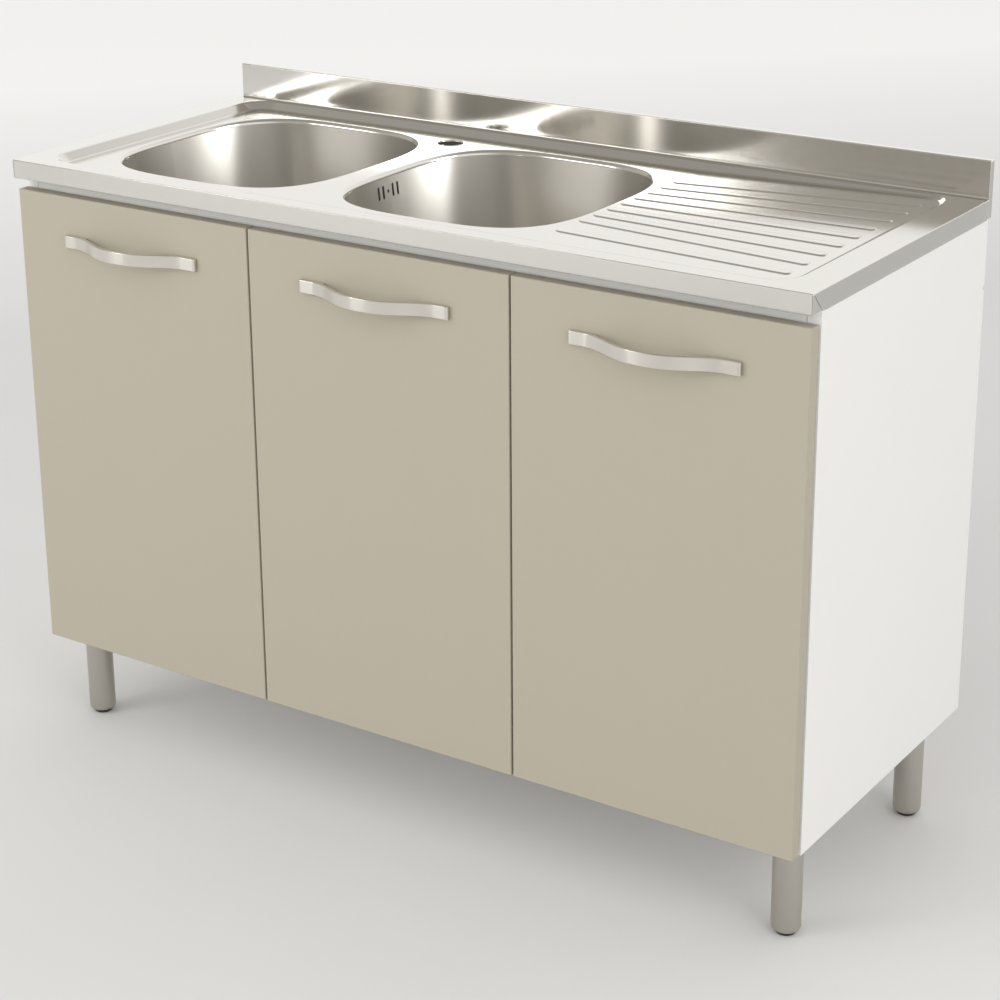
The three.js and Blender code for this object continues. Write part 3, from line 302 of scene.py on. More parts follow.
def lathe(name, profile, centre, sides=64):
    """Turns a closed or axis-ended profile of (radius, height) pairs round a vertical axis."""
    points, faces, rows = [], [], []
    for radius, height in profile:
        if radius < 1e-7:
            rows.append([len(points)] * sides)
            points.append((centre[0], centre[1], height))
            continue
        rows.append(list(range(len(points), len(points) + sides)))
        for i in range(sides):
            turn = 2 * math.pi * i / sides
            x = centre[0] + radius * math.cos(turn)
            points.append((x, centre[1] + radius * math.sin(turn), height))
    closed = profile[0][0] > 1e-7 and profile[-1][0] > 1e-7
    pairs = list(zip(rows, rows[1:])) + ([(rows[-1], rows[0])] if closed else [])
    for low, high in pairs:
        for i in range(sides):
            j = (i + 1) % sides
            corners = [low[i], low[j], high[j], high[i]]
            corners = [c for k, c in enumerate(corners) if c != corners[k - 1]]
            if len(corners) > 2:
                faces.append(corners)
    return outward(mesh_object(name, points, faces))


def rounded_path(corners, radius, steps=3):
    """A path of (radius, height) pairs with its inner corners rounded."""
    path = [corners[0]]
    for before, here, after in zip(corners, corners[1:], corners[2:]):
        corner = Vector(here)
        back = Vector(before) - corner
        ahead = Vector(after) - corner
        reach = min(radius, back.length / 2.2, ahead.length / 2.2)
        start = corner + back.normalized() * reach
        end = corner + ahead.normalized() * reach
        for i in range(steps + 1):
            t = i / steps
            path.append(tuple(start * (1 - t) ** 2 + corner * 2 * t * (1 - t) + end * t * t))
    path.append(corners[-1])
    return path


# ---------------------------------------------------------------- node groups


FLOAT, COLOUR, VECTOR = "NodeSocketFloat", "NodeSocketColor", "NodeSocketVector"
INTEGER, MATERIAL, GEOMETRY = "NodeSocketInt", "NodeSocketMaterial", "NodeSocketGeometry"


def socket(tree, name, kind, default=None, out=False):
    """A named input or output of a node tree."""
    way = "OUTPUT" if out else "INPUT"
    made = tree.interface.new_socket(name=name, in_out=way, socket_type=kind)
    if default is not None:
        made.default_value = default
    return made


class Wires:
    """Short ways to write a node tree."""

    def __init__(self, tree):
        self.tree = tree
        self.column = 0

    def add(self, kind, inputs=None, **settings):
        """A new node with its settings and inputs."""
        self.column += 1
        made = self.tree.nodes.new(kind)
        made.location = (self.column * 180, -(self.column % 5) * 160)
        for name, value in settings.items():
            setattr(made, name, value)
        for name, value in (inputs or {}).items():
            self.set(made.inputs[name], value)
        return made

    def set(self, target, value):
        """Links a socket to an input, or gives the input a plain value."""
        if isinstance(value, bpy.types.NodeSocket):
            self.tree.links.new(value, target)
        else:
            target.default_value = value

    def math(self, operation, a, b=0.0, c=0.0):
        """A number worked out from up to three values."""
        made = self.add("ShaderNodeMath", operation=operation)
        for target, value in zip(made.inputs, (a, b, c)):
            self.set(target, value)
        return made.outputs[0]

    def spread(self, value, low, high, to_low=0.0, to_high=1.0, kind="LINEAR"):
        """A value carried from one range to another, and held within it."""
        names = ("Value", "From Min", "From Max", "To Min", "To Max")
        inputs = dict(zip(names, (value, low, high, to_low, to_high)))
        return self.add("ShaderNodeMapRange", inputs, interpolation_type=kind).outputs["Result"]

    def noise(self, vector, scale, detail, rough):
        """A cloudy pattern from 0 to 1."""
        inputs = {"Vector": vector, "Scale": scale, "Detail": detail, "Roughness": rough}
        return self.add("ShaderNodeTexNoise", inputs).outputs["Fac"]

    def stretch(self, vector, scale):
        """Coordinates with a scale of their own along each axis."""
        return self.add("ShaderNodeMapping", {"Vector": vector, "Scale": scale}).outputs["Vector"]

    def mix(self, factor, a, b):
        """Two colours mixed by a factor."""
        made = self.add("ShaderNodeMix", data_type="RGBA")
        self.set(made.inputs[0], factor)
        self.set(made.inputs[6], a)
        self.set(made.inputs[7], b)
        return made.outputs[2]

    def cut(self, solid, tools):
        """A solid with the tools' shapes cut out of it."""
        real = self.add("GeometryNodeRealizeInstances", {"Geometry": tools})
        made = self.add("GeometryNodeMeshBoolean", operation="DIFFERENCE")
        self.set(made.inputs["Mesh 1"], solid)
        self.set(made.inputs["Mesh 2"], real.outputs[0])
        return made.outputs[0]


def group_tree(name, inputs, outputs):
    """A shader node group with named sockets."""
    tree = bpy.data.node_groups.new(name, "ShaderNodeTree")
    for label, kind, default in inputs:
        socket(tree, label, kind, default)
    for label, kind in outputs:
        socket(tree, label, kind, out=True)
    return tree


def satin_metal_group(name):
    """Fine directional brushing, cloudy handling marks and a slow drift of tone."""
    tree = group_tree(
        name,
        [
            ("Vector", VECTOR, None),
            ("Tint", COLOUR, (0.6, 0.6, 0.6, 1)),
            ("Grain", VECTOR, (1, 12, 12)),
            ("Grain Scale", FLOAT, 160.0),
            ("Roughness", FLOAT, 0.3),
            ("Roughness Spread", FLOAT, 0.06),
            ("Tone Spread", FLOAT, 0.08),
        ],
        [("Color", COLOUR), ("Roughness", FLOAT), ("Height", FLOAT)],
    )
    w = Wires(tree)
    inside = w.add("NodeGroupInput").outputs
    drawn = w.stretch(inside["Vector"], inside["Grain"])
    brushing = w.noise(drawn, inside["Grain Scale"], 4.0, 0.65)
    clouds = w.noise(inside["Vector"], 6.0, 3.0, 0.55)
    marks = w.noise(inside["Vector"], 38.0, 5.0, 0.6)
    drawn_tone = w.math("MULTIPLY", w.math("SUBTRACT", brushing, 0.5), 0.9)
    cloud_tone = w.math("MULTIPLY", w.math("SUBTRACT", clouds, 0.5), 0.8)
    tone = w.math("ADD", drawn_tone, cloud_tone)
    level = w.math("MULTIPLY_ADD", tone, inside["Tone Spread"], 1.0)
    shade = w.add("ShaderNodeVectorMath", operation="SCALE")
    w.set(shade.inputs[0], inside["Tint"])
    w.set(shade.inputs["Scale"], level)
    dull = w.math("ADD", w.math("SUBTRACT", brushing, 0.5), w.math("SUBTRACT", marks, 0.5))
    rough = w.math("MULTIPLY_ADD", dull, inside["Roughness Spread"], inside["Roughness"])
    leave = w.add("NodeGroupOutput")
    w.set(leave.inputs["Color"], shade.outputs[0])
    w.set(leave.inputs["Roughness"], rough)
    w.set(leave.inputs["Height"], brushing)
    return tree


def board_face_group(name):
    """Melamine or laminate: a fine pearl texture with a faint drift of tone."""
    tree = group_tree(
        name,
        [
            ("Vector", VECTOR, None),
            ("Tint", COLOUR, (0.8, 0.8, 0.8, 1)),
            ("Pearl Scale", FLOAT, 900.0),
            ("Roughness", FLOAT, 0.45),
            ("Tone Spread", FLOAT, 0.03),
        ],
        [("Color", COLOUR), ("Roughness", FLOAT), ("Height", FLOAT)],
    )
    w = Wires(tree)
    inside = w.add("NodeGroupInput").outputs
    pearl = w.noise(inside["Vector"], inside["Pearl Scale"], 2.0, 0.5)
    drift = w.noise(inside["Vector"], 2.4, 2.0, 0.5)
    fibres = w.noise(inside["Vector"], 130.0, 4.0, 0.6)
    fibre_tone = w.math("MULTIPLY", w.math("SUBTRACT", fibres, 0.5), 0.7)
    tone = w.math("ADD", w.math("SUBTRACT", drift, 0.5), fibre_tone)
    level = w.math("MULTIPLY_ADD", tone, inside["Tone Spread"], 1.0)
    shade = w.add("ShaderNodeVectorMath", operation="SCALE")
    w.set(shade.inputs[0], inside["Tint"])
    w.set(shade.inputs["Scale"], level)
    rough = w.math("MULTIPLY_ADD", w.math("SUBTRACT", pearl, 0.5), 0.12, inside["Roughness"])
    leave = w.add("NodeGroupOutput")
    w.set(leave.inputs["Color"], shade.outputs[0])
    w.set(leave.inputs["Roughness"], rough)
    w.set(leave.inputs["Height"], w.math("ADD", pearl, w.math("MULTIPLY", fibres, 0.5)))
    return tree


def edge_wear_group(name):
    """Lightens the outer edges: rubbed wear where hands and cloths rub, and a painted highlight along the
    edges.
    """
    tree = group_tree(
        name,
        [("Color", COLOUR, (0.5, 0.5, 0.5, 1)), ("Vector", VECTOR, None), ("Amount", FLOAT, 0.2)],
        [("Color", COLOUR)],
    )
    w = Wires(tree)
    inside = w.add("NodeGroupInput").outputs
    bend = w.add("ShaderNodeNewGeometry").outputs["Pointiness"]
    rubbed_and_lit = w.spread(bend, 0.51, 0.58)
    broken = w.spread(w.noise(inside["Vector"], 60.0, 4.0, 0.6), 0.35, 0.6)
    wear_and_highlight_mask = w.math("MULTIPLY", w.math("MULTIPLY", rubbed_and_lit, broken), inside["Amount"])
    # Paler colour on convex edges: partly rubbed wear, partly painted highlight.
    worn_and_lit = w.mix(wear_and_highlight_mask, inside["Color"], (0.86, 0.85, 0.83, 1))
    leave = w.add("NodeGroupOutput")
    w.set(leave.inputs["Color"], worn_and_lit)
    return tree


SHADER_GROUPS = {
    "Satin metal": satin_metal_group,
    "Board face": board_face_group,
    "Edge wear": edge_wear_group,
}


def new_material(name):
    """An empty surface: the material, its wires, its shader and the object's coordinates."""
    made = bpy.data.materials.new(name)
    made.use_nodes = True
    made.node_tree.nodes.clear()
    w = Wires(made.node_tree)
    shader = w.add("ShaderNodeBsdfPrincipled")
    out = w.add("ShaderNodeOutputMaterial")
    w.set(out.inputs["Surface"], shader.outputs[0])
    place_at = w.add("ShaderNodeTexCoord").outputs["Object"]
    return made, w, shader, place_at


def placed_group(w, name, values):
    """The outputs of a shader group in a material. The group is built on its first use."""
    tree = bpy.data.node_groups.get(name) or SHADER_GROUPS[name](name)
    return w.add("ShaderNodeGroup", values, node_tree=tree).outputs


def bumped(w, shader, height, strength, distance):
    """Lets a height stand out on a surface."""
    inputs = {"Strength": strength, "Distance": distance, "Height": height}
    w.set(shader.inputs["Normal"], w.add("ShaderNodeBump", inputs).outputs[0])


def metal(name, tint, grain, scale, rough, spread=0.06, tone=0.08, bump=0.04, wear=0.0, smear=0.0):
    """A satin or polished metal with brushing along one way, which smears its reflections across."""
    made, w, shader, place_at = new_material(name)
    values = {
        "Vector": place_at,
        "Tint": (*tint, 1),
        "Grain": grain,
        "Grain Scale": scale,
        "Roughness": rough,
        "Roughness Spread": spread,
        "Tone Spread": tone,
    }
    face = placed_group(w, "Satin metal", values)
    tinted = face["Color"]
    # Lighter outer edges: rubbed wear, and a painted highlight along them.
    if wear:
        rubbed_and_lit = {"Color": tinted, "Vector": place_at, "Amount": wear}
        tinted = placed_group(w, "Edge wear", rubbed_and_lit)["Color"]
    w.set(shader.inputs["Base Color"], tinted)
    w.set(shader.inputs["Roughness"], face["Roughness"])
    shader.inputs["Metallic"].default_value = 1.0
    if smear:
        shader.inputs["Anisotropic"].default_value = smear
        shader.inputs["Anisotropic Rotation"].default_value = 0.25
        lie = w.add("ShaderNodeTangent", direction_type="UV_MAP", uv_map="brush")
        w.set(shader.inputs["Tangent"], lie.outputs[0])
    bumped(w, shader, face["Height"], bump, 0.0004)
    return made


def board(name, tint, rough, tone=0.03, bump=0.06, gloss=0.4):
    """A smooth face with a fine texture: melamine, laminate, plastic or a coat."""
    made, w, shader, place_at = new_material(name)
    values = {"Vector": place_at, "Tint": (*tint, 1), "Roughness": rough, "Tone Spread": tone}
    face = placed_group(w, "Board face", values)
    w.set(shader.inputs["Base Color"], face["Color"])
    w.set(shader.inputs["Roughness"], face["Roughness"])
    shader.inputs["Specular IOR Level"].default_value = gloss
    bumped(w, shader, face["Height"], bump, 0.0003)
    return made


def chipboard(name, tint):
    """Pressed wood chips, as the unfaced edges show them."""
    made, w, shader, place_at = new_material(name)
    chips = {"Vector": place_at, "Scale": 520.0, "Randomness": 1.0}
    flakes = w.add("ShaderNodeTexVoronoi", chips).outputs["Color"]
    grey = w.add("ShaderNodeRGBToBW", {"Color": flakes}).outputs[0]
    fine = w.noise(place_at, 260.0, 4.0, 0.7)
    mix = w.math("MULTIPLY_ADD", grey, 0.7, w.math("MULTIPLY", fine, 0.4))
    dark = tuple(c * 0.45 for c in tint)
    pale = tuple(min(c * 1.5, 1) for c in tint)
    w.set(shader.inputs["Base Color"], w.mix(mix, (*dark, 1), (*pale, 1)))
    w.set(shader.inputs["Roughness"], w.spread(fine, 0.3, 0.7, 0.75, 0.95))
    bumped(w, shader, mix, 0.5, 0.0004)
    return made


def once(build, name, *values, **more):
    """A material, built on its first use."""
    return bpy.data.materials.get(name) or build(name, *values, **more)


def finishes():
    """The materials, by the record's slots, with the coat, which also serves as painted shade behind the
    overflow slots, and the chipboard.
    """
    c = bpy.context.scene.sink_unit_colours
    along_x, along_z, even = (1.0, 180.0, 180.0), (150.0, 150.0, 1.0), (1, 1, 1)
    return {
        "deck_steel": once(
            metal, "Deck steel", c.deck, along_x, 22.0, 0.13,
            spread=0.02, tone=0.012, bump=0.003, wear=0.15, smear=0.4,
        ),
        "bowl_steel": once(
            metal, "Bowl steel", c.bowl, even, 700.0, 0.44,
            spread=0.03, tone=0.03, bump=0.01, smear=0.85,
        ),
        "waste_metal": once(metal, "Waste steel", c.waste, even, 90.0, 0.2, bump=0.03),
        "handle_metal": once(
            metal, "Handle nickel", c.handle, along_x, 20.0, 0.3,
            spread=0.04, tone=0.03, bump=0.006, wear=0.2, smear=0.9,
        ),
        "leg_metal": once(metal, "Leg nickel", c.leg, along_z, 20.0, 0.34, spread=0.08, bump=0.02),
        "plated_steel": once(
            metal, "Plated steel", c.plated, even, 120.0, 0.3, spread=0.1, tone=0.12, bump=0.05
        ),
        "white_board": once(board, "White melamine", c.board, 0.42, tone=0.02),
        "door_board": once(board, "Taupe laminate", c.door, 0.72, tone=0.02, gloss=0.2),
        "dark_plastic": once(board, "Dark plastic", c.dark, 0.55, tone=0.2, bump=0.2),
        "white_plastic": once(board, "White plastic", c.pale, 0.5, tone=0.05, bump=0.15),
        # The coat's near black is also painted shade seen through the overflow slots.
        "damping": once(board, "Damping coat and shade", c.damping, 0.8, tone=0.25, bump=0.5),
        "chip": once(chipboard, "Chipboard edge", c.chip),
    }


# ---------------------------------------------------------------- geometry node trees


def geometry_tree(name, inputs):
    """A geometry node tree with a geometry way through and named inputs."""
    tree = bpy.data.node_groups.new(name, "GeometryNodeTree")
    socket(tree, "Geometry", GEOMETRY)
    for label, kind, default in inputs:
        socket(tree, label, kind, default)
    socket(tree, "Geometry", GEOMETRY, out=True)
    return tree


def run_tree(obj, tree, values):
    """Gives an object the tree as a modifier, with the inputs set by their identifiers."""
    modifier = obj.modifiers.new(tree.name, "NODES")
    modifier.node_group = tree
    for item in tree.interface.items_tree:
        if item.item_type == "SOCKET" and item.in_out == "INPUT" and item.name in values:
            modifier[item.identifier] = values[item.name]


def end_tree(w, geometry, material):
    """Realize Instances, Set Material and the way out."""
    whole = w.add("GeometryNodeRealizeInstances", {"Geometry": geometry})
    dressed = w.add("GeometryNodeSetMaterial", {"Geometry": whole.outputs[0], "Material": material})
    leave = w.add("NodeGroupOutput")
    w.set(leave.inputs[0], dressed.outputs[0])


# The ribs rise on the sheet's faces above this height.
RIBS_ABOVE = DECK_HIGH.z - 0.062


def rib_tree():
    """Presses ribs up out of a sheet: each point rises by how near a rib's line it is."""
    tree = geometry_tree(
        "Drainer ribs",
        [
            ("Count", INTEGER, 9),
            ("Start X", FLOAT, 0.2),
            ("End X", FLOAT, 0.5),
            ("Rear Y At Bowl", FLOAT, 0.2),
            ("Rear Y At End", FLOAT, 0.2),
            ("Pitch At Bowl", FLOAT, 0.036),
            ("Pitch At End", FLOAT, 0.046),
            ("Front Y At Bowl", FLOAT, -0.1),
            ("Half Width", FLOAT, 0.0075),
            ("Slope", FLOAT, 0.003),
            ("Height", FLOAT, 0.002),
            ("Material", MATERIAL, None),
        ],
    )
    w = Wires(tree)
    inside = w.add("NodeGroupInput").outputs
    count = inside["Count"]
    line = w.add("GeometryNodeMeshLine", {"Count": w.math("MULTIPLY", count, 2.0)}, mode="OFFSET")
    index = w.add("GeometryNodeInputIndex").outputs[0]
    odd = w.math("MODULO", index, 2.0)
    ends = {"Geometry": line.outputs[0], "Selection": odd}
    apart = w.add("GeometryNodeDeleteGeometry", ends, domain="EDGE", mode="EDGE_FACE")
    rib = w.math("FLOOR", w.math("MULTIPLY", index, 0.5))
    is_front = w.math("COMPARE", rib, w.math("SUBTRACT", count, 1.0), 0.1)
    fan_bowl = w.math("MULTIPLY", rib, inside["Pitch At Bowl"])
    fanned = w.math("SUBTRACT", inside["Rear Y At Bowl"], fan_bowl)
    y_bowl = w.spread(is_front, 0.0, 1.0, fanned, inside["Front Y At Bowl"])
    fan_end = w.math("MULTIPLY", rib, inside["Pitch At End"])
    y_end = w.math("SUBTRACT", inside["Rear Y At End"], fan_end)
    x = w.spread(odd, 0.0, 1.0, inside["Start X"], inside["End X"])
    y = w.spread(odd, 0.0, 1.0, y_bowl, y_end)
    spot = w.add("ShaderNodeCombineXYZ", {"X": x, "Y": y})
    moved = {"Geometry": apart.outputs[0], "Position": spot.outputs[0]}
    lines = w.add("GeometryNodeSetPosition", moved)
    here = w.add("GeometryNodeInputPosition").outputs[0]
    parts = w.add("ShaderNodeSeparateXYZ", {"Vector": here}).outputs
    flat = w.add("ShaderNodeCombineXYZ", {"X": parts["X"], "Y": parts["Y"]}).outputs[0]
    sought = {"Geometry": lines.outputs[0], "Sample Position": flat}
    near = w.add("GeometryNodeProximity", sought, target_element="EDGES")
    far = w.math("SUBTRACT", inside["Half Width"], near.outputs["Distance"])
    rise = w.spread(far, 0.0, inside["Slope"], 0.0, inside["Height"], "SMOOTHSTEP")
    up = w.add("ShaderNodeCombineXYZ", {"Z": rise}).outputs[0]
    on_top = w.math("GREATER_THAN", parts["Z"], RIBS_ABOVE)
    raised = {"Geometry": inside["Geometry"], "Offset": up, "Selection": on_top}
    pressed = w.add("GeometryNodeSetPosition", raised)
    end_tree(w, pressed.outputs[0], inside["Material"])
    return tree


def slot_tree():
    """Cuts a row of upright round-ended slots, with a small round hole in the row's middle."""
    tree = geometry_tree(
        "Overflow slots",
        [
            ("Count", INTEGER, 5),
            ("Pitch", FLOAT, 0.0107),
            ("Middle", VECTOR, (0, 0, 0)),
            ("Slot Width", FLOAT, 0.0044),
            ("Slot Height", FLOAT, 0.018),
            ("Reach", FLOAT, 0.03),
            ("Material", MATERIAL, None),
        ],
    )
    w = Wires(tree)
    inside = w.add("NodeGroupInput").outputs
    count = inside["Count"]
    half_pitch = w.math("MULTIPLY", inside["Pitch"], -0.5)
    first = w.math("MULTIPLY", w.math("SUBTRACT", count, 1.0), half_pitch)
    start = w.add("ShaderNodeVectorMath", operation="ADD")
    w.set(start.inputs[0], inside["Middle"])
    w.set(start.inputs[1], w.add("ShaderNodeCombineXYZ", {"Y": first}).outputs[0])
    step = w.add("ShaderNodeCombineXYZ", {"Y": inside["Pitch"]}).outputs[0]
    places = {"Count": count, "Start Location": start.outputs[0], "Offset": step}
    row = w.add("GeometryNodeMeshLine", places, mode="OFFSET")
    radius = w.math("MULTIPLY", inside["Slot Width"], 0.5)
    sizes = {"Vertices": 24, "Radius": radius, "Depth": inside["Reach"]}
    rod = w.add("GeometryNodeMeshCylinder", sizes).outputs[0]
    lying = w.add("GeometryNodeTransform", {"Geometry": rod, "Rotation": (0, math.pi / 2, 0)})
    here = w.add("GeometryNodeInputPosition").outputs[0]
    parts = w.add("ShaderNodeSeparateXYZ", {"Vector": here}).outputs
    longer = w.math("SUBTRACT", inside["Slot Height"], inside["Slot Width"])
    shift = w.math("MULTIPLY", w.math("SIGN", parts["Z"]), w.math("MULTIPLY", longer, 0.5))
    apart = w.add("ShaderNodeCombineXYZ", {"Z": shift}).outputs[0]
    drawn = {"Geometry": lying.outputs[0], "Offset": apart}
    long_slot = w.add("GeometryNodeSetPosition", drawn).outputs[0]
    index = w.add("GeometryNodeInputIndex").outputs[0]
    middle = w.math("MULTIPLY", w.math("SUBTRACT", count, 1.0), 0.5)
    in_middle = w.math("COMPARE", index, middle, 0.1)
    others = w.math("SUBTRACT", 1.0, in_middle)
    tools = w.add("GeometryNodeJoinGeometry")
    for where, tool in ((others, long_slot), (in_middle, lying.outputs[0])):
        chosen = {"Points": row.outputs[0], "Selection": where, "Instance": tool}
        put = w.add("GeometryNodeInstanceOnPoints", chosen)
        tree.links.new(put.outputs[0], tools.inputs[0])
    cut = w.cut(inside["Geometry"], tools.outputs[0])
    end_tree(w, cut, inside["Material"])
    return tree


def perforation_tree():
    """Drills two rings of round holes through a basket's floor."""
    tree = geometry_tree(
        "Basket perforations",
        [
            ("Middle", VECTOR, (0, 0, 0)),
            ("Inner Radius", FLOAT, 0.018),
            ("Inner Count", INTEGER, 8),
            ("Outer Radius", FLOAT, 0.027),
            ("Outer Count", INTEGER, 14),
            ("Hole Radius", FLOAT, 0.0022),
            ("Material", MATERIAL, None),
        ],
    )
    w = Wires(tree)
    inside = w.add("NodeGroupInput").outputs
    drill_sizes = {"Vertices": 16, "Radius": inside["Hole Radius"], "Depth": 0.012}
    drill = w.add("GeometryNodeMeshCylinder", drill_sizes)
    tools = w.add("GeometryNodeJoinGeometry")
    for ring in ("Inner", "Outer"):
        sizes = {"Vertices": inside[f"{ring} Count"], "Radius": inside[f"{ring} Radius"]}
        circle = w.add("GeometryNodeMeshCircle", sizes).outputs[0]
        drills = w.add("GeometryNodeInstanceOnPoints", {"Points": circle, "Instance": drill.outputs[0]})
        tree.links.new(drills.outputs[0], tools.inputs[0])
    put = {"Geometry": tools.outputs[0], "Translation": inside["Middle"]}
    cut = w.cut(inside["Geometry"], w.add("GeometryNodeTransform", put).outputs[0])
    end_tree(w, cut, inside["Material"])
    return tree


def lug_tree():
    """Sets grip lugs round a nut."""
    tree = geometry_tree(
        "Grip lugs",
        [
            ("Middle", VECTOR, (0, 0, 0)),
            ("Radius", FLOAT, 0.056),
            ("Count", INTEGER, 6),
            ("Lug", VECTOR, (0.007, 0.008, 0.009)),
            ("Material", MATERIAL, None),
        ],
    )
    w = Wires(tree)
    inside = w.add("NodeGroupInput").outputs
    ring = w.add("GeometryNodeMeshCircle", {"Vertices": inside["Count"], "Radius": inside["Radius"]})
    sizes = {"Size": inside["Lug"], "Vertices X": 3, "Vertices Y": 3, "Vertices Z": 2}
    lug = w.add("GeometryNodeMeshCube", sizes)
    index = w.add("GeometryNodeInputIndex").outputs[0]
    turn = w.math("MULTIPLY", index, w.math("DIVIDE", 2 * math.pi, inside["Count"]))
    facing = w.add("ShaderNodeCombineXYZ", {"Z": turn}).outputs[0]
    placed = {"Points": ring.outputs[0], "Instance": lug.outputs[0], "Rotation": facing}
    lugs = w.add("GeometryNodeInstanceOnPoints", placed).outputs[0]
    moved = w.add("GeometryNodeTransform", {"Geometry": lugs, "Translation": inside["Middle"]})
    both = w.add("GeometryNodeJoinGeometry")
    for source in (inside["Geometry"], moved.outputs[0]):
        tree.links.new(source, both.inputs[0])
    end_tree(w, both.outputs[0], inside["Material"])
    return tree


def screw_tree():
    """Puts a cross-head screw on every point, turned the way that the point faces."""
    tree = geometry_tree(
        "Screw heads",
        [("Head Radius", FLOAT, 0.0036), ("Material", MATERIAL, None)],
    )
    w = Wires(tree)
    inside = w.add("NodeGroupInput").outputs
    radius = inside["Head Radius"]
    ball = w.add("GeometryNodeMeshUVSphere", {"Segments": 20, "Rings": 8, "Radius": radius})
    dome = w.add("GeometryNodeTransform", {"Geometry": ball.outputs[0], "Scale": (1, 1, 0.42)})
    wide = w.math("MULTIPLY", radius, 1.25)
    thin = w.math("MULTIPLY", radius, 0.24)
    deep = w.math("MULTIPLY", radius, 0.5)
    cross = w.add("GeometryNodeJoinGeometry")
    for x, y in ((wide, thin), (thin, wide)):
        size = w.add("ShaderNodeCombineXYZ", {"X": x, "Y": y, "Z": deep})
        bar = w.add("GeometryNodeMeshCube", {"Size": size.outputs[0]})
        tree.links.new(bar.outputs[0], cross.inputs[0])
    rise = w.add("ShaderNodeCombineXYZ", {"Z": w.math("MULTIPLY", radius, 0.45)}).outputs[0]
    raised = w.add("GeometryNodeTransform", {"Geometry": cross.outputs[0], "Translation": rise})
    head = w.add("GeometryNodeMeshBoolean", operation="DIFFERENCE")
    w.set(head.inputs["Mesh 1"], dome.outputs[0])
    w.set(head.inputs["Mesh 2"], raised.outputs[0])
    facing = w.add("GeometryNodeInputNamedAttribute", data_type="FLOAT_VECTOR")
    facing.inputs["Name"].default_value = "facing"
    outward_way = {"Vector": facing.outputs["Attribute"]}
    turned = w.add("FunctionNodeAlignRotationToVector", outward_way, axis="Z").outputs[0]
    placed = {"Points": inside["Geometry"], "Instance": head.outputs[0], "Rotation": turned}
    heads = w.add("GeometryNodeInstanceOnPoints", placed)
    end_tree(w, heads.outputs[0], inside["Material"])
    return tree


def screws_on(name, spots, body, radius):
    """One mesh of plated screw heads on (place, facing) pairs, riding on a body."""
    mesh = bpy.data.meshes.new(name)
    mesh.from_pydata([tuple(spot) for spot, _ in spots], [], [])
    facing = mesh.attributes.new("facing", "FLOAT_VECTOR", "POINT")
    facing.data.foreach_set("vector", [c for _, way in spots for c in way])
    obj = new_object(name, mesh)
    tree = bpy.data.node_groups.get("Screw heads") or screw_tree()
    run_tree(obj, tree, {"Head Radius": radius, "Material": finishes()["plated_steel"]})
    settle(obj)
    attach(obj, body)


# ---------------------------------------------------------------- sink top


# Distance between the places along a long line of the sheet.
LINE_SPACING = 0.03
# Distance from a bend to the line beside it, which keeps the flat face there flat.
LOOP_GAP = 0.0007
# Distance from the folded edge to the line inside it, which does the same there.
EDGE_GUARD = 0.0008
# Radius of the bend from the apron to its hem.
HEM_BEND = 0.0012
# How far the sunk area's wall runs out for each unit of its depth.
WALL_RUN = 1.2
# Rounding where the sunk floor starts to rise, and the places of the lines across it.
CREASE_SOFTNESS = 0.00018
CREASE_SHIFTS = (-0.0055, -0.004, -0.002, 0, 0.002, 0.004, 0.005)
# Width of the tap hole's rounded lip, and its (inset, fall) pairs.
TAP_LIP = 0.0009
TAP_LIP_SECTION = ((0.0004, 0.0001), (0.0007, 0.0004), (0.0009, 0.0009), (0.0009, 0.0013))


def bowl_turns(sizes, steps=144):
    """Angles round a bowl, closer together at its corners."""
    power = 2 / 2.6
    turns = []
    for i in range(steps):
        turn = 2 * math.pi * i / steps
        c, s = math.cos(turn), math.sin(turn)
        x = sizes.width * math.copysign(abs(c) ** power, c)
        y = sizes.length * math.copysign(abs(s) ** power, s)
        turns.append(math.atan2(y, x))
    return turns


def bowl_reach(sizes, turn, inset):
    """How far the bowl's outline lies from its middle, at an angle."""
    power = sizes.squareness
    a = sizes.width / 2 - inset
    b = sizes.length / 2 - inset
    total = abs(math.cos(turn) / a) ** power + abs(math.sin(turn) / b) ** power
    return total ** (-1 / power)


def bowl_ring(sizes, centre, inset, z):
    """The bowl's outline drawn in by an inset, at a height."""
    ring = []
    for turn in bowl_turns(sizes):
        reach = bowl_reach(sizes, turn, inset)
        ring.append(Vector((centre.x + reach * math.cos(turn), centre.y + reach * math.sin(turn), z)))
    return ring


def in_bowl(sizes, p, centre):
    """Whether a place lies within a bowl's mouth, seen from above."""
    turn = math.atan2(p.y - centre.y, p.x - centre.x)
    return math.hypot(p.x - centre.x, p.y - centre.y) < bowl_reach(sizes, turn, 0)


def soft_max(a, b, k):
    """The greater of two values, with the change between them rounded over k."""
    h = max(k - abs(a - b), 0) / k
    return max(a, b) + h * h * k / 4


def soft_min(a, b, k):
    """The lesser of two values, with the change between them rounded over k."""
    return -soft_max(-a, -b, k)


def between(start, end, spacing=LINE_SPACING):
    """Points between two places, without the places themselves."""
    count = max(int((end - start).length / spacing), 1)
    return [start.lerp(end, i / count) for i in range(1, count)]


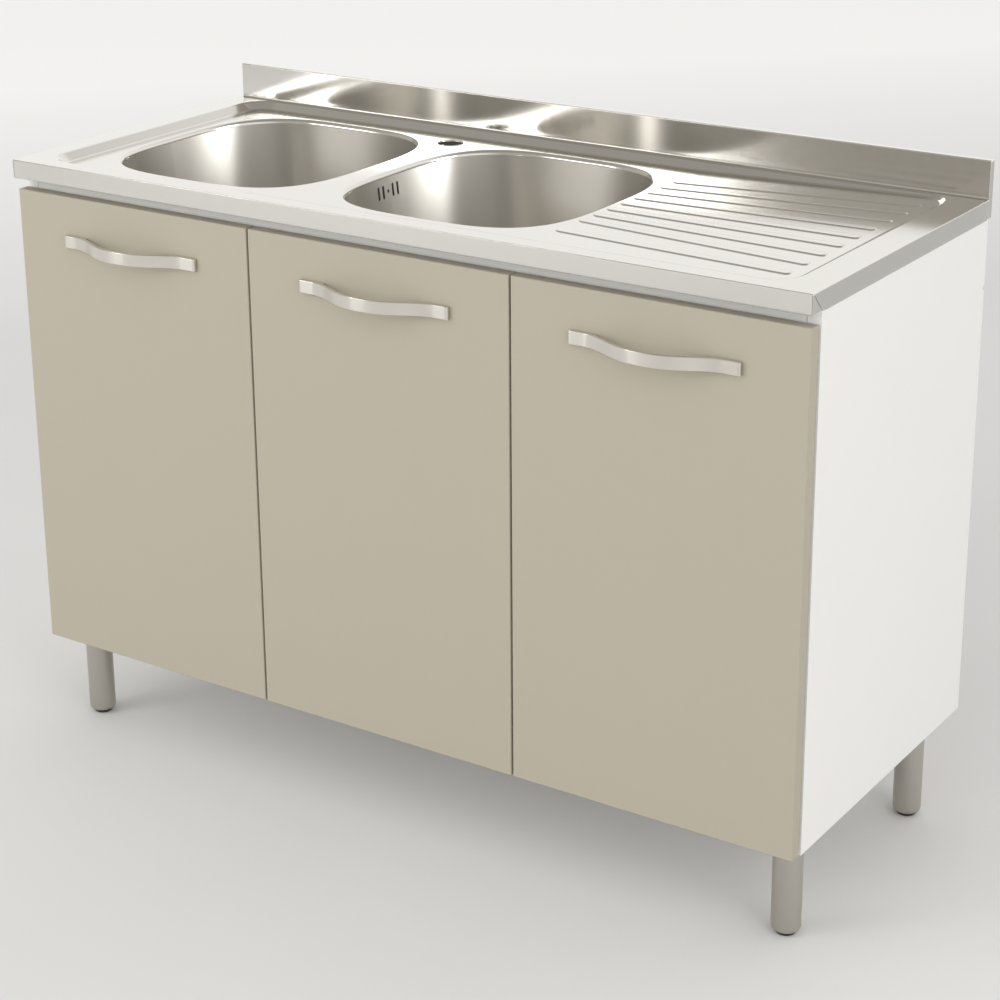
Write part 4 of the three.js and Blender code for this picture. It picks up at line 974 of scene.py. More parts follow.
class SunkArea:
    """The pressed form of the deck's top face."""

    def __init__(self, s, bowls):
        self.s = s
        self.x0 = DECK_LOW.x + s.sunk_left
        self.x1 = DECK_HIGH.x - s.sunk_right
        self.y0 = DECK_FRONT + s.sunk_front
        self.y1 = DECK_HIGH.y - s.sunk_back
        self.bowl_edge = BOWLS["right"].x + bowls.width / 2
        self.crease = self.bowl_edge + s.crease_gap
        self.end = self.x1 - WALL_RUN * s.sunk_depth

    def inside(self, x, y):
        """Distance inside the sunk area's top outline."""
        r = self.s.sunk_corner
        qx = abs(x - (self.x0 + self.x1) / 2) - ((self.x1 - self.x0) / 2 - r)
        qy = abs(y - (self.y0 + self.y1) / 2) - ((self.y1 - self.y0) / 2 - r)
        return r - math.hypot(max(qx, 0), max(qy, 0)) - min(max(qx, qy), 0)

    def depth(self, x):
        """Depth of the sunk floor: level, then rising to the right."""
        s = self.s
        rise = (s.sunk_depth - s.end_depth) * (x - self.crease) / (self.end - self.crease)
        return max(s.sunk_depth - soft_max(rise, 0, CREASE_SOFTNESS), s.end_depth * 0.9)

    def drop(self, x, y):
        """How far the top face lies below the deck."""
        fall = self.inside(x, y) / WALL_RUN
        return soft_max(soft_min(fall, self.depth(x), self.s.rounding), 0, self.s.rounding)

    def outline(self, inset, steps=14):
        """The sunk area's outline drawn in by an inset."""
        r = self.s.sunk_corner - inset
        x0, x1, y0, y1 = self.x0 + inset, self.x1 - inset, self.y0 + inset, self.y1 - inset
        centres = (
            (x1 - r, y0 + r, -90),
            (x1 - r, y1 - r, 0),
            (x0 + r, y1 - r, 90),
            (x0 + r, y0 + r, 180),
        )
        loop = []
        for cx, cy, start in centres:
            arc = []
            for i in range(steps + 1):
                turn = math.radians(start + 90 * i / steps)
                arc.append(Vector((cx + r * math.cos(turn), cy + r * math.sin(turn))))
            if loop:
                loop += between(loop[-1], arc[0])
            loop += arc
        return loop + between(loop[-1], loop[0])


def rib_lines(ribs, sunk):
    """The ribs' centre lines, from the bowl to the right end."""
    x0 = sunk.bowl_edge + ribs.start_gap
    x1 = sunk.x1 - ribs.end_gap
    rear = sunk.y1 - ribs.rear_margin
    rear_bowl = rear - (ribs.pitch_end - ribs.pitch_bowl) * ribs.fan_about
    lines = []
    for i in range(ribs.count):
        y_bowl = rear_bowl - i * ribs.pitch_bowl
        if i == ribs.count - 1:
            y_bowl = DECK_FRONT + ribs.front_y
        lines.append((Vector((x0, y_bowl)), Vector((x1, rear - i * ribs.pitch_end))))
    return lines


def half_turn(centre, radius, start, steps):
    """Places on half a circle, from an angle on."""
    turns = [start + math.pi * i / steps for i in range(steps + 1)]
    return [centre + radius * Vector((math.cos(turn), math.sin(turn))) for turn in turns]


def stadium(start, end, radius, steps=10, spacing=0.04):
    """A round-ended outline about a line."""
    along = (end - start).normalized()
    side = Vector((along.y, -along.x))
    heading = math.atan2(side.y, side.x)
    far = half_turn(end, radius, heading, steps)
    near = half_turn(start, radius, heading + math.pi, steps)
    return far + between(far[-1], near[0], spacing) + near + between(near[-1], far[0], spacing)


def straight_edge(start, end, way):
    """Places between two corners, each with the way out."""
    return [(p, way) for p in between(start, end)]


def turned_corner(middle, radius, start, steps=8):
    """Places round a quarter turn, each with its way out."""
    places = []
    for i in range(steps + 1):
        turn = math.radians(start + 90 * i / steps)
        way = Vector((math.cos(turn), math.sin(turn)))
        places.append((middle + radius * way, way))
    return places


def perimeter(s, inset):
    """The deck's left, front and right edge drawn in by an inset, with each point's way out."""
    r = max(s.corner - inset, 0.0001)
    rear = DECK_HIGH.y - s.upstand - s.cove
    x, y = DECK_HIGH.x - inset, DECK_FRONT + inset
    left, front, right = Vector((-1, 0)), Vector((0, -1)), Vector((1, 0))
    path = [(Vector((-x, rear)), left)]
    path += straight_edge(Vector((-x, rear)), Vector((-x, y + r)), left)
    path += turned_corner(Vector((-x + r, y + r)), r, 180)
    path += straight_edge(Vector((-x + r, y)), Vector((x - r, y)), front)
    path += turned_corner(Vector((x - r, y + r)), r, 270)
    path += straight_edge(Vector((x, y + r)), Vector((x, rear)), right)
    path.append((Vector((x, rear)), right))
    return path


class SheetPlan:
    """The sheet: first the lines that its faces keep to, seen from above, then its places."""

    def __init__(self):
        self.flat = []
        self.edges = []
        self.numbers = {}
        self.spots = []
        self.faces = []

    def add_line(self, points, closed=False):
        """Adds a line that the faces keep to, and gives the numbers of its points."""
        start = len(self.flat)
        self.flat.extend(Vector((p.x, p.y)) for p in points)
        self.edges.extend((start + i, start + i + 1) for i in range(len(points) - 1))
        if closed:
            self.edges.append((len(self.flat) - 1, start))
        return list(range(start, len(self.flat)))

    def fill(self, is_open, height):
        """Fills the lines with faces, but for the openings, and lifts them to their height."""
        points, _, faces, origins, _, _ = delaunay_2d_cdt(self.flat, self.edges, [], 0, 1e-7)
        for i, sources in enumerate(origins):
            for source in sources:
                self.numbers[source] = i
        for face in faces:
            middle = sum((points[i] for i in face), Vector((0, 0))) / len(face)
            if not is_open(middle):
                self.faces.append(list(face))
        self.spots = [Vector((p.x, p.y, height(p.x, p.y))) for p in points]

    def sweep(self, line, rings, closed=False):
        """Joins rows of places on to a line of the sheet."""
        before = [self.numbers[i] for i in line]
        for ring in rings:
            here = list(range(len(self.spots), len(self.spots) + len(ring)))
            self.spots.extend(ring)
            count = len(here) if closed else len(here) - 1
            for i in range(count):
                j = (i + 1) % len(here)
                self.faces.append([before[i], before[j], here[j], here[i]])
            before = here


def add_sunk_lines(plan, s, sunk):
    """Lines down the sunk area's wall, and across the floor where it starts to rise."""
    wall = s.rounding * WALL_RUN
    offsets = [-wall * 1.25] + [-wall + wall * 2 * i / 6 for i in range(7)]
    deepest = WALL_RUN * s.sunk_depth + wall
    inner_steps = 11
    offsets += [wall + (deepest - wall) * (i + 1) / inner_steps for i in range(inner_steps)]
    offsets.append(deepest + 0.0012)
    for offset in offsets:
        plan.add_line(sunk.outline(offset), closed=True)
    inner = deepest + 0.003
    for shift in CREASE_SHIFTS:
        x = sunk.crease + shift
        ends = Vector((x, sunk.y0 + inner)), Vector((x, sunk.y1 - inner))
        plan.add_line([ends[0], *between(*ends), ends[1]])


def add_rib_lines(plan, ribs, sunk):
    """Lines round each rib: at its foot, down its slope and at its crest."""
    half = ribs.width / 2
    radii = [half + LOOP_GAP, half]
    radii += [half - ribs.slope * share for share in (0.2, 0.4, 0.6, 0.8)]
    radii += [half - ribs.slope, half - ribs.slope - LOOP_GAP]
    for start, end in rib_lines(ribs, sunk):
        for radius in radii:
            plan.add_line(stadium(start, end, radius), closed=True)


def tap_ring(tap, radius):
    """A ring round the tap hole, seen from above."""
    turns = [2 * math.pi * i / 56 for i in range(56)]
    return [tap + radius * Vector((math.cos(t), math.sin(t))) for t in turns]


def fold_rings(s, path):
    """Rows of places round the edge's fold, down the apron and along the hem under it."""

    def ring(out, fall):
        """The path moved outwards and down."""
        return [Vector((p.x + way.x * out, p.y + way.y * out, s.top - fall)) for p, way in path]

    def hem_ring(width):
        """The path turned in under the front apron, and only as far as the fold at the sides."""
        places = []
        for p, way in path:
            out = s.fold - (width if way.y < -0.5 else min(width, s.fold))
            places.append(Vector((p.x + way.x * out, p.y + way.y * out, s.top - s.apron)))
        return places

    rows = []
    for i in range(1, 6):
        turn = math.radians(90 * i / 5)
        rows.append(ring(s.fold * math.sin(turn), s.fold * (1 - math.cos(turn))))
    rows.append(ring(s.fold, s.fold + LOOP_GAP))
    rows.append(ring(s.fold, s.apron - HEM_BEND - LOOP_GAP))
    rows.append(ring(s.fold, s.apron - HEM_BEND))
    for i in range(1, 4):
        turn = math.radians(90 * i / 3)
        fall = s.apron - HEM_BEND * (1 - math.sin(turn))
        rows.append(ring(s.fold - HEM_BEND * (1 - math.cos(turn)), fall))
    rows.append(hem_ring(HEM_BEND + LOOP_GAP))
    rows.append(hem_ring(s.hem))
    return rows


def cove_rings(s, points):
    """Rows of places up the cove between the deck and the upstand."""
    rows = []
    for i in range(1, 6):
        turn = math.radians(88 * i / 5)
        back = s.cove * math.sin(turn)
        rise = s.cove * (1 - math.cos(turn))
        rows.append([Vector((p.x, p.y + back, s.top + rise)) for p in points])
    rows.append([Vector((p.x, p.y + s.cove, s.top + s.cove + 0.002)) for p in points])
    return rows


def rim_rings(bowls, centre, level):
    """Rows of places down a bowl's rolled rim."""
    rows = []
    for i in range(1, 9):
        turn = math.radians(90 * i / 8)
        fall = bowls.rim * (1 - math.cos(turn))
        rows.append(bowl_ring(bowls, centre, bowls.rim * math.sin(turn), level - fall))
    return rows


def lip_rings(s, tap, level):
    """Rows of places down the tap hole's rounded lip."""
    rows = []
    for inset, fall in TAP_LIP_SECTION:
        ring = tap_ring(tap, s.tap_radius + TAP_LIP - inset)
        rows.append([Vector((p.x, p.y, level - fall)) for p in ring])
    return rows


def deck_sheet(s, bowls, ribs, sunk):
    """The pressed sheet: sunk area, folded edges with a hem, rolled bowl rims and the tap hole."""
    plan = SheetPlan()
    edge = perimeter(s, s.fold)
    edge_line = plan.add_line([p for p, _ in edge])
    rear = between(edge[-1][0], edge[0][0])
    rear_line = [edge_line[-1]] + plan.add_line(rear) + [edge_line[0]]
    plan.edges += [tuple(rear_line[:2]), tuple(rear_line[-2:])]
    guard = [p for p, _ in perimeter(s, s.fold + EDGE_GUARD)]
    for end in (0, -1):
        guard[end] = guard[end] - Vector((0, EDGE_GUARD))
    plan.add_line(guard)
    add_sunk_lines(plan, s, sunk)
    add_rib_lines(plan, ribs, sunk)
    rims = []
    for centre in BOWLS.values():
        plan.add_line(bowl_ring(bowls, centre, -0.0012, 0), closed=True)
        rims.append(plan.add_line(bowl_ring(bowls, centre, 0, 0), closed=True))
    tap_x = (BOWLS["left"].x + BOWLS["right"].x) / 2 + s.tap_off
    tap = Vector((tap_x, DECK_HIGH.y - s.tap_back))
    plan.add_line(tap_ring(tap, s.tap_radius + 0.0016), closed=True)
    tap_rim = plan.add_line(tap_ring(tap, s.tap_radius + TAP_LIP), closed=True)

    def is_open(middle):
        """Whether a place lies in the tap hole or in a bowl's mouth."""
        in_tap_hole = (middle - tap).length < s.tap_radius + 0.0008
        return in_tap_hole or any(in_bowl(bowls, middle, centre) for centre in BOWLS.values())

    plan.fill(is_open, lambda x, y: s.top - sunk.drop(x, y))
    plan.sweep(edge_line, fold_rings(s, edge))
    plan.sweep(rear_line, cove_rings(s, [edge[-1][0], *rear, edge[0][0]]))
    level = s.top - s.sunk_depth
    for centre, rim in zip(BOWLS.values(), rims):
        plan.sweep(rim, rim_rings(bowls, centre, level), closed=True)
    plan.sweep(tap_rim, lip_rings(s, tap, level), closed=True)

    sheet = outward(mesh_object("deck_sheet", plan.spots, plan.faces))
    form = bmesh.new()
    form.from_mesh(sheet.data)
    up = sum(1 if f.normal.z > 0 else -1 for f in form.faces if abs(f.normal.z) > 0.9)
    if up < 0:
        bmesh.ops.reverse_faces(form, faces=form.faces)
    cut_corner_seams(form, s)
    form.to_mesh(sheet.data)
    form.free()
    return sheet


def cut_near_corners(form, picked, s, spot, way):
    """Cuts the faces that a test picks along a plane."""
    near = [f for f in form.faces if picked(f, s)]
    edges = list({e for f in near for e in f.edges})
    corners = list({v for f in near for v in f.verts})
    bmesh.ops.bisect_plane(form, geom=near + edges + corners, plane_co=spot, plane_no=way)


def cut_corner_seams(form, s):
    """Opens the slanted seam of the folded tab at each front corner, and the slit of its fold."""
    top = Vector((0, DECK_FRONT + s.seam, s.top - s.fold))
    low = Vector((0, DECK_FRONT + s.tab, s.top - s.apron))
    along = (low - top).normalized()
    across = Vector((0, -along.z, along.y))
    for shift in (-s.seam / 2, s.seam / 2):
        cut_near_corners(form, on_side_apron, s, top + across * shift, across)
    gap = []
    for face in form.faces:
        if not on_side_apron(face, s):
            continue
        middle = face.calc_center_median()
        away = abs((Vector((0, middle.y, middle.z)) - top).dot(across))
        if away < s.seam / 2 and middle.z < s.top - s.fold:
            gap.append(face)
    fold_x = DECK_HIGH.x - s.corner - s.slit
    for shift in (0, s.slit):
        for side in (-1, 1):
            cut_near_corners(form, on_front_apron, s, (side * (fold_x + shift), 0, 0), (1, 0, 0))
    for face in form.faces:
        if on_front_apron(face, s) and fold_x < abs(face.calc_center_median().x) < fold_x + s.slit:
            gap.append(face)
    bmesh.ops.delete(form, geom=gap, context="FACES")


def on_front_apron(face, s):
    """Whether a face lies on the front apron near a corner, between the fold and the hem."""
    middle = face.calc_center_median()
    return (
        abs(middle.y - DECK_FRONT) < 0.0001
        and abs(middle.x) > DECK_HIGH.x - 0.05
        and s.top - s.apron + HEM_BEND < middle.z < s.top - s.fold
    )


def on_side_apron(face, s):
    """Whether a face lies on a side apron near its front corner, below the fold."""
    middle = face.calc_center_median()
    return (
        abs(middle.x) > DECK_HIGH.x - 0.0002
        and middle.y < DECK_FRONT + 0.07
        and s.top - s.apron < middle.z < s.top - s.fold
    )


def press_ribs(sheet, ribs, lines):
    """Runs the rib tree on the sheet, with the ribs' places taken from their lines."""
    values = {
        "Count": ribs.count,
        "Start X": lines[0][0].x,
        "End X": lines[0][1].x,
        "Rear Y At Bowl": lines[0][0].y,
        "Rear Y At End": lines[0][1].y,
        "Pitch At Bowl": ribs.pitch_bowl,
        "Pitch At End": ribs.pitch_end,
        "Front Y At Bowl": lines[-1][0].y,
        "Half Width": ribs.width / 2,
        "Slope": ribs.slope,
        "Height": ribs.height,
        "Material": finishes()["deck_steel"],
    }
    run_tree(sheet, rib_tree(), values)


class SINKUNIT_OT_top(bpy.types.Operator):
    """Press the steel top: sunk area, drainer ribs, folded edges and upstand"""

    bl_idname = "sinkunit.top"
    bl_label = "Sink top"

    def execute(self, context):
        scene = context.scene
        s, bowls, ribs = scene.sink_unit_top, scene.sink_unit_bowls, scene.sink_unit_ribs
        steel = finishes()["deck_steel"]
        sunk = SunkArea(s, bowls)
        sheet = deck_sheet(s, bowls, ribs, sunk)
        sheet.data.materials.append(steel)
        press_ribs(sheet, ribs, rib_lines(ribs, sunk))
        thick = sheet.modifiers.new("Sheet", "SOLIDIFY")
        thick.thickness = s.sheet
        thick.offset = -1
        thick.use_rim = True
        brush_map(settle(sheet))
        for vertex in sheet.data.vertices:
            vertex.co.x = min(max(vertex.co.x, DECK_LOW.x), DECK_HIGH.x)
        place(sheet, "carcass", "sink_deck")

        low = Vector((DECK_LOW.x, DECK_HIGH.y - s.upstand, DECK_LOW.z))
        upstand = rounded_block("upstand", low, DECK_HIGH, 0.0014, 3)
        upstand.data.materials.append(steel)
        brush_map(settle(upstand))
        place(upstand, "carcass", "sink_deck")
        return {"FINISHED"}


def rounded_block(name, low, high, radius, segments):
    """A block between two corners, with a bevel that rounds its edges."""
    corners = [(x, y, z) for x in (low.x, high.x) for y in (low.y, high.y) for z in (low.z, high.z)]
    faces = [(0, 1, 3, 2), (4, 6, 7, 5), (0, 4, 5, 1), (2, 3, 7, 6), (0, 2, 6, 4), (1, 5, 7, 3)]
    block = outward(mesh_object(name, corners, faces))
    return bevelled(block, radius, segments)


# ---------------------------------------------------------------- bowls


# The rim and the waste seat as (inset, depth) and (radius, depth) pairs.
RIM_INSIDE = ((-0.001, 0.00125), (0.0019, 0.0016), (0.0035, 0.0027), (0.0046, 0.0047), (0.00475, 0.00605))
RIM_OUTSIDE = ((-0.001, 0.0024), (0.0016, 0.0032), (0.0034, 0.0048), (0.0044, 0.0075))
SEAT_SECTION = (
    (0.0006, 0.0001),
    (-0.0004, 0.0006),
    (-0.0012, 0.0014),
    (-0.002, 0.0023),
    (-0.003, 0.0028),
    (-0.0042, 0.003),
)
FLOOR_STEPS = 9
# Four slots and, in the middle, the small hole.
OVERFLOW_PLACES = 5


def bowl_section(b, level):
    """The inner skin's rim and wall as (inset, depth below the sunk floor) pairs, and its depth."""
    rim = [(-b.flange, 0.0013), *RIM_INSIDE, (b.rim, 0.00608)]
    floor_depth = b.depth - b.floor_fall + (level - BOWL_TOP)
    wall_end = floor_depth - b.floor_radius
    inset = b.rim + b.draft
    wall = []
    for i in range(1, 9):
        t = i / 8
        wall.append((b.rim + b.draft * t ** 0.9, b.rim + (wall_end - b.rim) * t))
    for i in range(1, 13):
        turn = math.radians(90 * i / 12)
        across = inset + b.floor_radius * (1 - math.cos(turn))
        wall.append((across, wall_end + b.floor_radius * math.sin(turn)))
    return rim, wall, floor_depth


def outer_section(b, wall, sheet):
    """The outer skin's rim and wall, a sheet's thickness off the inner wall."""
    outer = [(-b.flange, 0.0023), *RIM_OUTSIDE]
    for k, (inset, depth) in enumerate(wall[1:], 1):
        after = wall[min(k + 1, len(wall) - 1)]
        before = wall[k - 1]
        along = Vector((after[0] - before[0], after[1] - before[1])).normalized()
        outer.append((inset - along.y * sheet, depth + along.x * sheet))
    return outer


def ring_faces(rows, count):
    """Faces between closed rows of places, and from the last row back to the first."""
    faces = []
    for i in range(rows):
        here, after = i * count, ((i + 1) % rows) * count
        for j in range(count):
            k = (j + 1) % count
            faces.append((here + j, here + k, after + k, after + j))
    return faces


def bowl_shell(name, centre, b, top):
    """A drawn bowl with a flange, rounded floor and a sunk waste seat, as one closed skin."""
    level = top.top - top.sunk_depth
    rim, wall, floor_depth = bowl_section(b, level)
    wall_foot = wall[-1][0]

    def floor_ring(share, radius, depth):
        """A ring between the wall's foot and a circle round the waste."""
        ring = []
        for t in bowl_turns(b):
            far = bowl_reach(b, t, wall_foot)
            reach = far + (radius - far) * share
            spot = (centre.x + reach * math.cos(t), centre.y + reach * math.sin(t), level - depth)
            ring.append(Vector(spot))
        return ring

    inside = [bowl_ring(b, centre, inset, level - depth) for inset, depth in rim + wall]
    outer = outer_section(b, wall, top.sheet)
    outside = [bowl_ring(b, centre, inset, level - depth) for inset, depth in outer]
    for i in range(1, FLOOR_STEPS + 1):
        t = i / FLOOR_STEPS
        depth = floor_depth + b.floor_fall * (t * t * (3 - 2 * t)) * 0.9
        inside.append(floor_ring(t, b.seat + 0.002, depth))
        outside.append(floor_ring(t, b.seat + 0.003, depth + top.sheet))
    seat_edge = floor_depth + b.floor_fall
    for radius, depth in SEAT_SECTION:
        below = seat_edge - 0.0004 + depth * b.seat_depth / 0.0034
        inside.append(floor_ring(1, b.seat + radius, below))
    seat_floor = seat_edge + b.seat_depth
    inside += [floor_ring(1, radius, seat_floor) for radius in (b.hole + 0.003, b.hole)]
    outside += [floor_ring(1, radius, seat_floor + top.sheet) for radius in (b.seat - 0.001, b.hole)]
    rows = inside + outside[::-1]
    faces = ring_faces(len(rows), len(rows[0]))
    return outward(mesh_object(name, [p for row in rows for p in row], faces))


def cut_overflow(bowl, centre, b):
    """Cuts the overflow slots and the small hole through a bowl's left wall."""
    middle = Vector((
        centre.x - b.width / 2 + b.rim / 2,
        centre.y + b.slot_off,
        BOWL_TOP - b.slot_below - b.slot_height / 2,
    ))
    values = {
        "Count": OVERFLOW_PLACES,
        "Pitch": b.slot_pitch,
        "Middle": middle,
        "Slot Width": b.slot_width,
        "Slot Height": b.slot_height,
        "Reach": 0.03,
        "Material": finishes()["bowl_steel"],
    }
    run_tree(bowl, slot_tree(), values)


def coat_and_shade_outside(bowl, centre, b):
    """Gives a bowl its steel, and the damping coat to its outer skin below the flange: a near-black
    sound-deadening coat that is also painted shade where that skin shows through the overflow slots.
    """
    looks = finishes()
    bowl.data.materials.clear()
    bowl.data.materials.append(looks["bowl_steel"])
    bowl.data.materials.append(looks["damping"])
    skirt = BOWL_TOP - b.flange
    for face in bowl.data.polygons:
        out = (face.center - centre).to_2d().normalized()
        outer = face.normal.to_2d().dot(out) > 0.25 and face.center.z < skirt
        face.material_index = 1 if outer or face.normal.z < -0.3 else 0


class SINKUNIT_OT_bowls(bpy.types.Operator):
    """Draw the two bowls and cut the overflow slots"""

    bl_idname = "sinkunit.bowls"
    bl_label = "Bowls"

    def execute(self, context):
        scene = context.scene
        b, top = scene.sink_unit_bowls, scene.sink_unit_top
        for side, centre in BOWLS.items():
            bowl = bowl_shell(f"bowl_{side}_shell", centre, b, top)
            bowl.data.materials.append(finishes()["bowl_steel"])
            if side == "right":
                cut_overflow(bowl, centre, b)
            brush_map(settle(bowl), centre)
            coat_and_shade_outside(bowl, centre, b)
            place(bowl, "carcass", f"bowl_{side}")
        return {"FINISHED"}


# ---------------------------------------------------------------- basket wastes


def strainer_section(low, high):
    """A strainer body as (radius, height) pairs: flange, cup and tail."""
    top = high.z - 0.0016
    floor = top - 0.034
    inner, outer, wall = 0.0429, 0.0447, 0.0018
    tail_bore, tail = 0.02, 0.0218
    inside = [
        (0.0545, high.z),
        (inner + wall, high.z),
        (inner, top),
        (inner, top - 0.003),
        (inner - 0.0024, top - 0.0033),
        (inner - 0.0042, floor + wall),
        (tail_bore, floor),
        (tail_bore, low.z),
        (tail, low.z),
    ]
    outside = [
        (tail, floor - wall),
        (inner - 0.0024, floor),
        (outer, top - 0.0163),
        (outer, top),
        (0.056, top),
    ]
    return rounded_path(inside + outside, 0.0008, 3)


def clamp_nut(side, centre, lugs):
    """The nut that clamps a strainer from below, with grip lugs round it."""
    low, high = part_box(f"waste_nut_{side}")
    bore, rim, chamfer = 0.0453, 0.0563, 0.002
    section = [
        (bore, high.z),
        (bore, low.z),
        (rim - chamfer, low.z),
        (rim, low.z + chamfer),
        (rim, high.z - 0.0002),
    ]
    nut = lathe(f"nut_{side}", rounded_path(section, 0.0007, 2), centre, 72)
    values = {
        "Middle": Vector((centre.x, centre.y, (low.z + high.z) / 2 + 0.0005)),
        "Radius": rim + 0.0005,
        "Count": 6,
        "Lug": (0.007, 0.008, 0.009),
        "Material": finishes()["white_plastic"],
    }
    run_tree(nut, lugs, values)
    hand_over(nut, "carcass", "white_plastic", f"waste_nut_{side}", rounding=0.0006, bend=50)


def basket_section(high, rim_z, floor, thick):
    """A lift-out basket as (radius, height) pairs: cup, rim and the knob in its middle."""
    wall, foot, rim = 0.0399, 0.0381, 0.0423
    corners = [
        (0, floor - thick),
        (foot - 0.003, floor - thick),
        (foot, floor + 0.002),
        (wall, rim_z - thick),
        (rim, rim_z - thick),
        (rim, rim_z),
        (wall - thick, rim_z),
        (foot - thick, floor + 0.002),
        (foot - 0.0042, floor),
        (0.0065, floor),
        (0.004, floor + 0.002),
        (0.0036, high.z - 0.006),
        (0.008, high.z - 0.0045),
        (0.008, high.z - 0.0012),
        (0.0062, high.z),
        (0, high.z),
    ]
    return rounded_path(corners, 0.0009, 3)


def basket(side, centre, perforate, hole):
    """A lift-out basket with two rings of holes in its floor."""
    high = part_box(f"basket_{side}")[1]
    thick = 0.0012
    rim_z = high.z - 0.0012
    floor = rim_z - 0.024
    cup = lathe(f"basket_cup_{side}", basket_section(high, rim_z, floor, thick), centre)
    values = {
        "Middle": (centre.x, centre.y, floor - thick / 2),
        "Inner Radius": 0.0165,
        "Inner Count": 8,
        "Outer Radius": 0.0265,
        "Outer Count": 14,
        "Hole Radius": hole,
        "Material": finishes()["waste_metal"],
    }
    run_tree(cup, perforate, values)
    hand_over(cup, f"{side}_basket", "waste_metal", f"basket_{side}")


class SINKUNIT_OT_wastes(bpy.types.Operator):
    """Fit the strainer bodies, clamp nuts and lift-out baskets"""

    bl_idname = "sinkunit.wastes"
    bl_label = "Basket wastes"

    def execute(self, context):
        sizes = context.scene.sink_unit_fittings
        perforate = perforation_tree()
        lugs = lug_tree()
        for side, centre in BOWLS.items():
            section = strainer_section(*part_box(f"strainer_body_{side}"))
            body = lathe(f"strainer_{side}", section, centre)
            hand_over(body, "carcass", "waste_metal", f"strainer_body_{side}")
            clamp_nut(side, centre, lugs)
            basket(side, centre, perforate, sizes.basket_hole)
        return {"FINISHED"}


# ---------------------------------------------------------------- carcass and doors


# Each board, with the test that picks its unfaced edges by the way that they face.
RAW_EDGES = {
    "side_panel_left": lambda n: n.y > 0.9 or abs(n.z) > 0.9,
    "side_panel_right": lambda n: n.y > 0.9 or abs(n.z) > 0.9,
    "divider_panel": lambda n: n.y > 0.9 or abs(n.z) > 0.9,
    "bottom_panel": lambda n: n.y > 0.9 or abs(n.x) > 0.9,
    "front_rail": lambda n: abs(n.x) > 0.9 or n.z > 0.9,
    "back_rail_upper": lambda n: abs(n.x) > 0.9 or n.z > 0.9,
    "back_rail_lower": lambda n: abs(n.x) > 0.9 or n.z < -0.9,
    "shelf": lambda n: n.y > 0.9 or abs(n.x) > 0.9,
}


def dress_board(obj, is_raw):
    """Gives a board its white facing, and raw chipboard to the faces that the test picks."""
    looks = finishes()
    obj.data.materials.append(looks["white_board"])
    obj.data.materials.append(looks["chip"])
    for face in obj.data.polygons:
        face.material_index = 1 if is_raw(face.normal) else 0


class SINKUNIT_OT_carcass(bpy.types.Operator):
    """Saw and edge the carcass boards, the rails and the shelf"""

    bl_idname = "sinkunit.carcass"
    bl_label = "Carcass boards"

    def execute(self, context):
        edge = context.scene.sink_unit_fittings.board_edge
        for name, is_raw in RAW_EDGES.items():
            panel = copy_of_node(name, f"{name}_board")
            dress_board(panel, is_raw)
            bevelled(panel, edge)
            settle(panel)
            place(panel, "carcass", name)
        return {"FINISHED"}


class SINKUNIT_OT_doors(bpy.types.Operator):
    """Make the three taupe doors with their bored backs"""

    bl_idname = "sinkunit.doors"
    bl_label = "Doors"

    def execute(self, context):
        for name in DOORS:
            door = copy_of_node(f"door_{name}", f"door_leaf_{name}")
            hand_over(door, DOOR_BODIES[name], "door_board", f"door_{name}", 0.0003, bend=25, sharp=50)
        return {"FINISHED"}


# ---------------------------------------------------------------- handles, hinges and pins


# Radii of the screw heads.
HANDLE_SCREW_HEAD = 0.0034
CUP_SCREW_HEAD = 0.0034
ARM_SCREW_HEAD = 0.003
# Up and down from a cup's middle, up and down on an arm's base, and back along its crown.
CUP_SCREW_SHIFTS = (-0.024, 0.024)
ARM_BASE_SHIFTS = (-0.016, 0.016)
ARM_CROWN_SHIFTS = (0.002, 0.013)
# How far an arm's base and crown stand off its board, and how far back its screws are.
ARM_BASE_RISE = 0.003
ARM_CROWN_RISE = 0.009
ARM_SCREWS_BACK = 0.063


def handle_outline(f, half, base):
    """A handle seen from above, as (along, reach off the door) pairs."""
    tip = 0.002
    pad_end = f.handle_pitch / 2 - tip
    foot = half - f.handle_foot

    def reach(along):
        """How far the strap's front stands off the door."""
        t = min(abs(along) / pad_end, 1)
        bow = math.cos(math.pi / 2 * t ** 1.25) ** 2
        return f.handle_pad + (f.handle_bow - f.handle_pad) * bow

    front_steps, back_steps = 72, 48
    outline = [(-half, f.handle_pad - 0.001)]
    for i in range(front_steps + 1):
        x = -half + tip + (2 * half - 2 * tip) * i / front_steps
        outline.append((x, reach(x)))
    outline += [(half, f.handle_pad - 0.001), (half, base), (foot, base)]
    for i in range(back_steps + 1):
        x = (foot - 0.003) * (1 - 2 * i / back_steps)
        slope = (reach(x + 0.001) - reach(x - 0.001)) / 0.002
        outline.append((x, reach(x) - f.handle_bar * math.hypot(1, slope)))
    return outline + [(-foot, base), (-half, base)]


def strap_handle(name, f):
    """A bowed strap handle, as its outline drawn up to the handle's height."""
    low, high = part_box(f"handle_{name}")
    door_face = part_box(f"door_{name}")[0].y
    middle = (low.x + high.x) / 2
    outline = handle_outline(f, (high.x - low.x) / 2, door_face - high.y)
    count = len(outline)
    points = [(middle + x, door_face - reach, z) for z in (low.z, high.z) for x, reach in outline]
    faces = [tuple(range(count))[::-1], tuple(range(count, 2 * count))]
    faces += [(i, (i + 1) % count, (i + 1) % count + count, i + count) for i in range(count)]
    strap = outward(mesh_object(f"strap_handle_{name}", points, faces))
    strap.data.materials.append(finishes()["handle_metal"])
    bevelled(strap, f.handle_edge, 3, 40)
    brush_map(settle(strap, 45))
    place(strap, DOOR_BODIES[name], f"handle_{name}")


